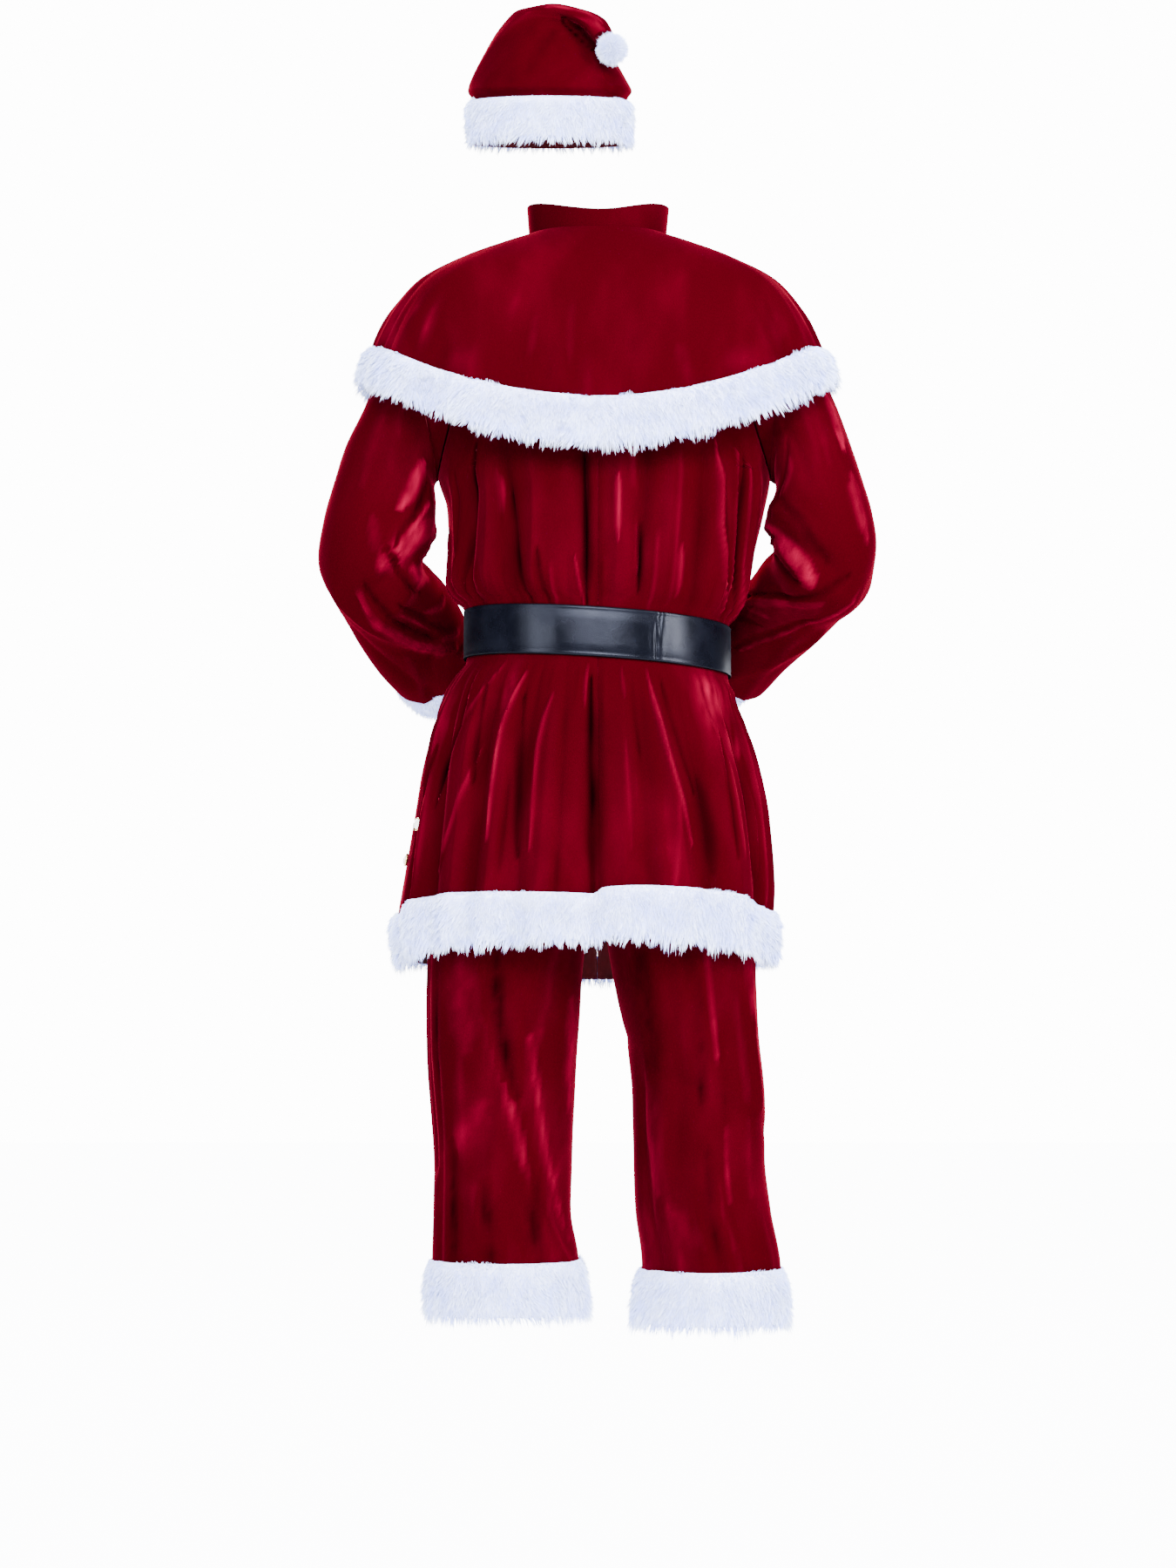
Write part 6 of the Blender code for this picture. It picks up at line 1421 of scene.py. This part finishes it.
section = strapSection()
turns = np.concatenate((np.linspace(belt["start"], 327, 160), np.linspace(327, 342, 76)[1:],
                        np.linspace(342, belt["end"], 230)[1:]))[:, None]
up, out = section[:, 0][None, :] + 0 * turns, section[:, 1][None, :] + 0 * turns
over = lap * ease((turns - belt["lapStart"]) / (belt["lapEnd"] - belt["lapStart"]))
bare = ease((turns - 200) / 8) * (1 - ease((turns - 488) / 8))
wave = np.where(out > 0.001, strapWaves(turns, up) * bare, 0)
strap = sweep("belt_strap_leather", beltFace(turns, up, over + out + wave), False,
              [finish["beltLeather"], finish["beltEdge"]])
rubbed = sum(rounded((turns - side) / belt["rubWidth"]) for side in (270, 450)) + 0 * up
addValues(strap.data, "rubbed", rubbed)
rim = np.abs(section[:, 0]) > belt["width"] / 2 - 0.0011
cutEdge = (rim & np.roll(rim, -1)).astype(int).tolist()
strap.data.polygons.foreach_set("material_index", np.array(cutEdge * (len(turns) - 1) + [1, 1], np.int32))
finishPiece(strap, "belt_strap", slot="leather")


def buckleFace(x, up, out):
    left, front, square = (coatSections(belt["middle"])[i] for i in (1, 4, 8))
    drop = (1 - (np.abs(x) / left) ** square) ** (1 / square)
    return place(x, -front * drop - belt["ease"] - out, belt["middle"] + up + belt["tilt"] * x)


def roundedFrame(halfWide, halfTall, corner, steps=8):
    # four rounded corners, with points along each straight side
    points = []
    for cx, cz, start in ((1, 1, 0), (-1, 1, 90), (-1, -1, 180), (1, -1, 270)):
        for i in range(steps + 1):
            a = math.radians(start + 90 * i / steps)
            points.append((cx * (halfWide - corner) + corner * math.cos(a),
                           cz * (halfTall - corner) + corner * math.sin(a)))
        flat = start in (0, 180)
        end = ((-cx * (halfWide - corner), cz * halfTall) if flat else (cx * halfWide, -cz * (halfTall - corner)))
        for i in range(1, 6):
            here, t = points[-i], i / 6
            points.append((here[0] + (end[0] - here[0]) * t, here[1] + (end[1] - here[1]) * t))
    return np.array(points)


back, thick = lap + belt["thickness"] + cloth["gap"], buckle["thick"]
r, wide, tall, bar = buckle["round"], buckle["wide"] / 2, buckle["tall"] / 2, buckle["bar"]
profile = [(0, r), (0, thick - r), (0.3 * r, thick - 0.3 * r), (r, thick), (bar / 2, thick), (bar - r, thick),
           (bar - 0.3 * r, thick - 0.3 * r), (bar, thick - r), (bar, r), (bar - r, 0), (r, 0)]
rings = [roundedFrame(wide - into, tall - into, max(0.0008, buckle["corner"] - into)) for into, _ in profile]
loops = [[buckleFace(*ring[i], back + high) for (_, high), ring in zip(profile, rings)] for i in range(len(rings[0]))]
frameOfBuckle = sweep("belt_buckle_gold", np.array(loops), True, [finish["goldMetal"]])
finishPiece(frameOfBuckle, "belt_buckle", slot="metal")

low = back + buckle["thick"] + cloth["gap"]
high, half = low + buckle["prongThick"], buckle["prongWide"] / 2
rod = [(-half, low + 0.0005), (-half, high - 0.0007), (-half * 0.5, high - 0.0001), (half * 0.5, high - 0.0001),
       (half, high - 0.0007), (half, low + 0.0005), (half - 0.0005, low), (-half + 0.0005, low)]
across = np.linspace(-1, 1, 25) * (wide - 0.002)
middle = (low + high) / 2
loops = [[buckleFace(x, up * k, middle + (out - middle) * k) for up, out in rod]
         for x, k in zip(across, np.interp(np.abs(across), (0, wide - 0.006, wide - 0.002), (1, 1, 0.72)))]
prong = sweep("belt_prong_gold", np.array(loops), False, [finish["goldMetal"]])
finishPiece(prong, "belt_prong", slot="metal")
print("belt ready")


# round buttons with a gold rim round a pearl

button = {"radius": 0.0078, "foot": 0.0009, "sides": 48}
buttonProfile = [(0.0, 0.02), (0.55, 0.02), (0.90, 0.10), (0.97, 0.20), (1.0, 0.30), (0.98, 0.40), (0.93, 0.46),
                 (0.86, 0.47), (0.80, 0.43), (0.77, 0.42), (0.74, 0.50), (0.64, 0.60), (0.48, 0.67), (0.26, 0.71),
                 (0.0, 0.72)]
rimEnd = 9  # rows of the profile that are gold


def makeButton(node, seat, out):
    sides, radius = button["sides"], button["radius"]
    across = unit(np.cross((0, 0, 1), out))
    s, c = sinAndCos(np.arange(sides) * 360 / sides)
    around = c[:, None] * across + s[:, None] * np.cross(out, across)
    foot = seat + out * button["foot"]
    rings = [foot + around * r * radius + out * h * radius for r, h in buttonProfile[1:-1]]
    ends = [foot + out * h * radius for _, h in (buttonProfile[0], buttonProfile[-1])]
    pearlRings = len(rings) - rimEnd
    which = [0] * sides * (rimEnd - 1) + [1] * sides * pearlRings + [0] * sides + [1] * sides
    piece = addMesh(node + "_pearl", np.concatenate(rings + [ends]), endedFaces(len(rings), sides),
                    [finish["goldMetal"], finish["pearl"]], which=which)
    return finishPiece(piece, node, slot="pearl")


for node, turn, height in (("coat_button_upper", 84.0, 0.846), ("coat_button_lower", 92.0, 0.806)):
    makeButton(node, coatRing(np.float64(turn), np.float64(height)), coatOut(np.float64(turn), np.float64(height)))
turn, along = np.float64(180 - 3 * cape["opening"]), np.float64(0.10)
makeButton("cape_button", capeRing(turn, along), capeOut(turn, along) * capeWay)
print("buttons ready")


# the fur down the front opening, in a length above the belt and one below it

frontFur = {"thick": 0.011, "strip": 2 / 11, "upper": (1.490, 1.106), "lower": (1.012, 0.7515)}


def frontTurn(height, share):
    centre = np.degrees(cloth["gap"] / 2 / coatSections(height)[..., 1])
    limit = armholeLimit(height, False)
    share = share * frontFur["strip"]
    return 180 - (centre + (90 - centre) * share - (90 - limit) * share * share)


frontStrips = {}
for part in ("upper", "lower"):
    around = np.linspace(*frontFur[part], 90)
    frontStrips[part] = furTrim(f"front_fur_{part}_pile", f"front_fur_{part}",
                                lambda h, s: coatRing(frontTurn(h, s), h), lambda h, s: coatOut(frontTurn(h, s), h),
                                around, (0.0, 1.0), frontFur["thick"], False, 111 + len(frontStrips), 0.0,
                                strandsPerArea=220000.0)
print("front fur ready")
# the floor, the light and the camera

stage = {"size": 30.0, "tone": (0.90, 0.905, 0.93, 1.0), "roughness": 0.9, "glow": 15.0, "glowShare": 0.95,
         "backdrop": 14.0, "fill": 0.30, "fillTone": (0.93, 0.95, 1.0, 1.0)}


def makeStage():
    half = stage["size"] / 2
    corners = [(x * half, y * half, -heldHeight) for x, y in ((-1, -1), (1, -1), (1, 1), (-1, 1))]
    floor = addMesh("studio_floor", corners, [(0, 1, 2, 3)], [])
    paint = bpy.data.materials.new("studioFloor")
    paint.use_nodes = True
    nodes, new = paint.node_tree.nodes, nodeMaker(paint.node_tree)
    base = nodes["Principled BSDF"]
    setSockets(base, {"Base Color": stage["tone"], "Roughness": stage["roughness"]})
    glow = new("ShaderNodeEmission", {"Color": stage["tone"], "Strength": stage["glow"]}).outputs["Emission"]
    seen = new("ShaderNodeLightPath").outputs["Is Camera Ray"]
    share = new("ShaderNodeMath", {0: seen, 1: stage["glowShare"]}, operation="MULTIPLY").outputs[0]
    mix = new("ShaderNodeMixShader", {"Fac": share, 1: base.outputs["BSDF"], 2: glow})
    setSockets(nodes["Material Output"], {"Surface": mix.outputs[0]})
    floor.data.materials.append(paint)
    world = bpy.data.worlds.new("studio")
    bpy.context.scene.world = world
    world.use_nodes = True
    nodes, new = world.node_tree.nodes, nodeMaker(world.node_tree)
    soft = nodes["Background"]
    setSockets(soft, {"Color": stage["fillTone"], "Strength": stage["fill"]})
    bright = new("ShaderNodeBackground", {"Color": (1.0, 1.0, 1.0, 1.0), "Strength": stage["backdrop"]})
    seen = new("ShaderNodeLightPath").outputs["Is Camera Ray"]
    mix = new("ShaderNodeMixShader", {"Fac": seen, 1: soft.outputs[0], 2: bright.outputs[0]})
    setSockets(nodes["World Output"], {"Surface": mix.outputs[0]})


def softbox(name, spot, aim, size, power, colour):
    light = bpy.data.lights.new(name, "AREA")
    light.shape = "RECTANGLE"
    light.size, light.size_y = size
    light.energy = power
    light.color = colour
    lamp = bpy.data.objects.new(name, light)
    lamp.location = spot
    lamp.rotation_euler = (Vector(aim) - Vector(spot)).to_track_quat("-Z", "Y").to_euler()
    bpy.context.scene.collection.objects.link(lamp)


cool, white = (0.92, 0.95, 1.0), (1.0, 1.0, 1.0)
makeStage()
for light in (("key_right", (-2.8, 2.1, 0.7), (0, 0, -0.5), (0.8, 2.6), 580, white),
              ("fill_left", (2.2, 2.9, 0.3), (0, 0, -0.6), (0.9, 2.6), 230, cool),
              ("rear_top", (-0.1, 3.8, 1.0), (0, 0, -0.6), (1.9, 1.3), 800, cool),
              ("overhead", (0.3, 0.6, 2.6), (0, 0, -0.5), (2.0, 2.0), 280, (0.94, 0.96, 1.0)),
              ("front_key", (1.5, -3.3, 1.1), (0, 0, -0.5), (1.2, 2.6), 620, white),
              ("front_fill", (-1.6, -3.2, 0.6), (0, 0, -0.5), (1.2, 2.6), 440, cool)):
    softbox(*light)

view = {"lens": 69.56, "sensor": 36, "place": (0.0114, 3.55, -0.9108), "pitch": 94.93, "turn": 180}
lens = bpy.data.cameras.new("rear_view")
lens.lens, lens.sensor_width = view["lens"], view["sensor"]
camera = bpy.data.objects.new("rear_view", lens)
camera.location = view["place"]
camera.rotation_euler = (math.radians(view["pitch"]), 0, math.radians(view["turn"]))
bpy.context.scene.collection.objects.link(camera)
bpy.context.scene.camera = camera
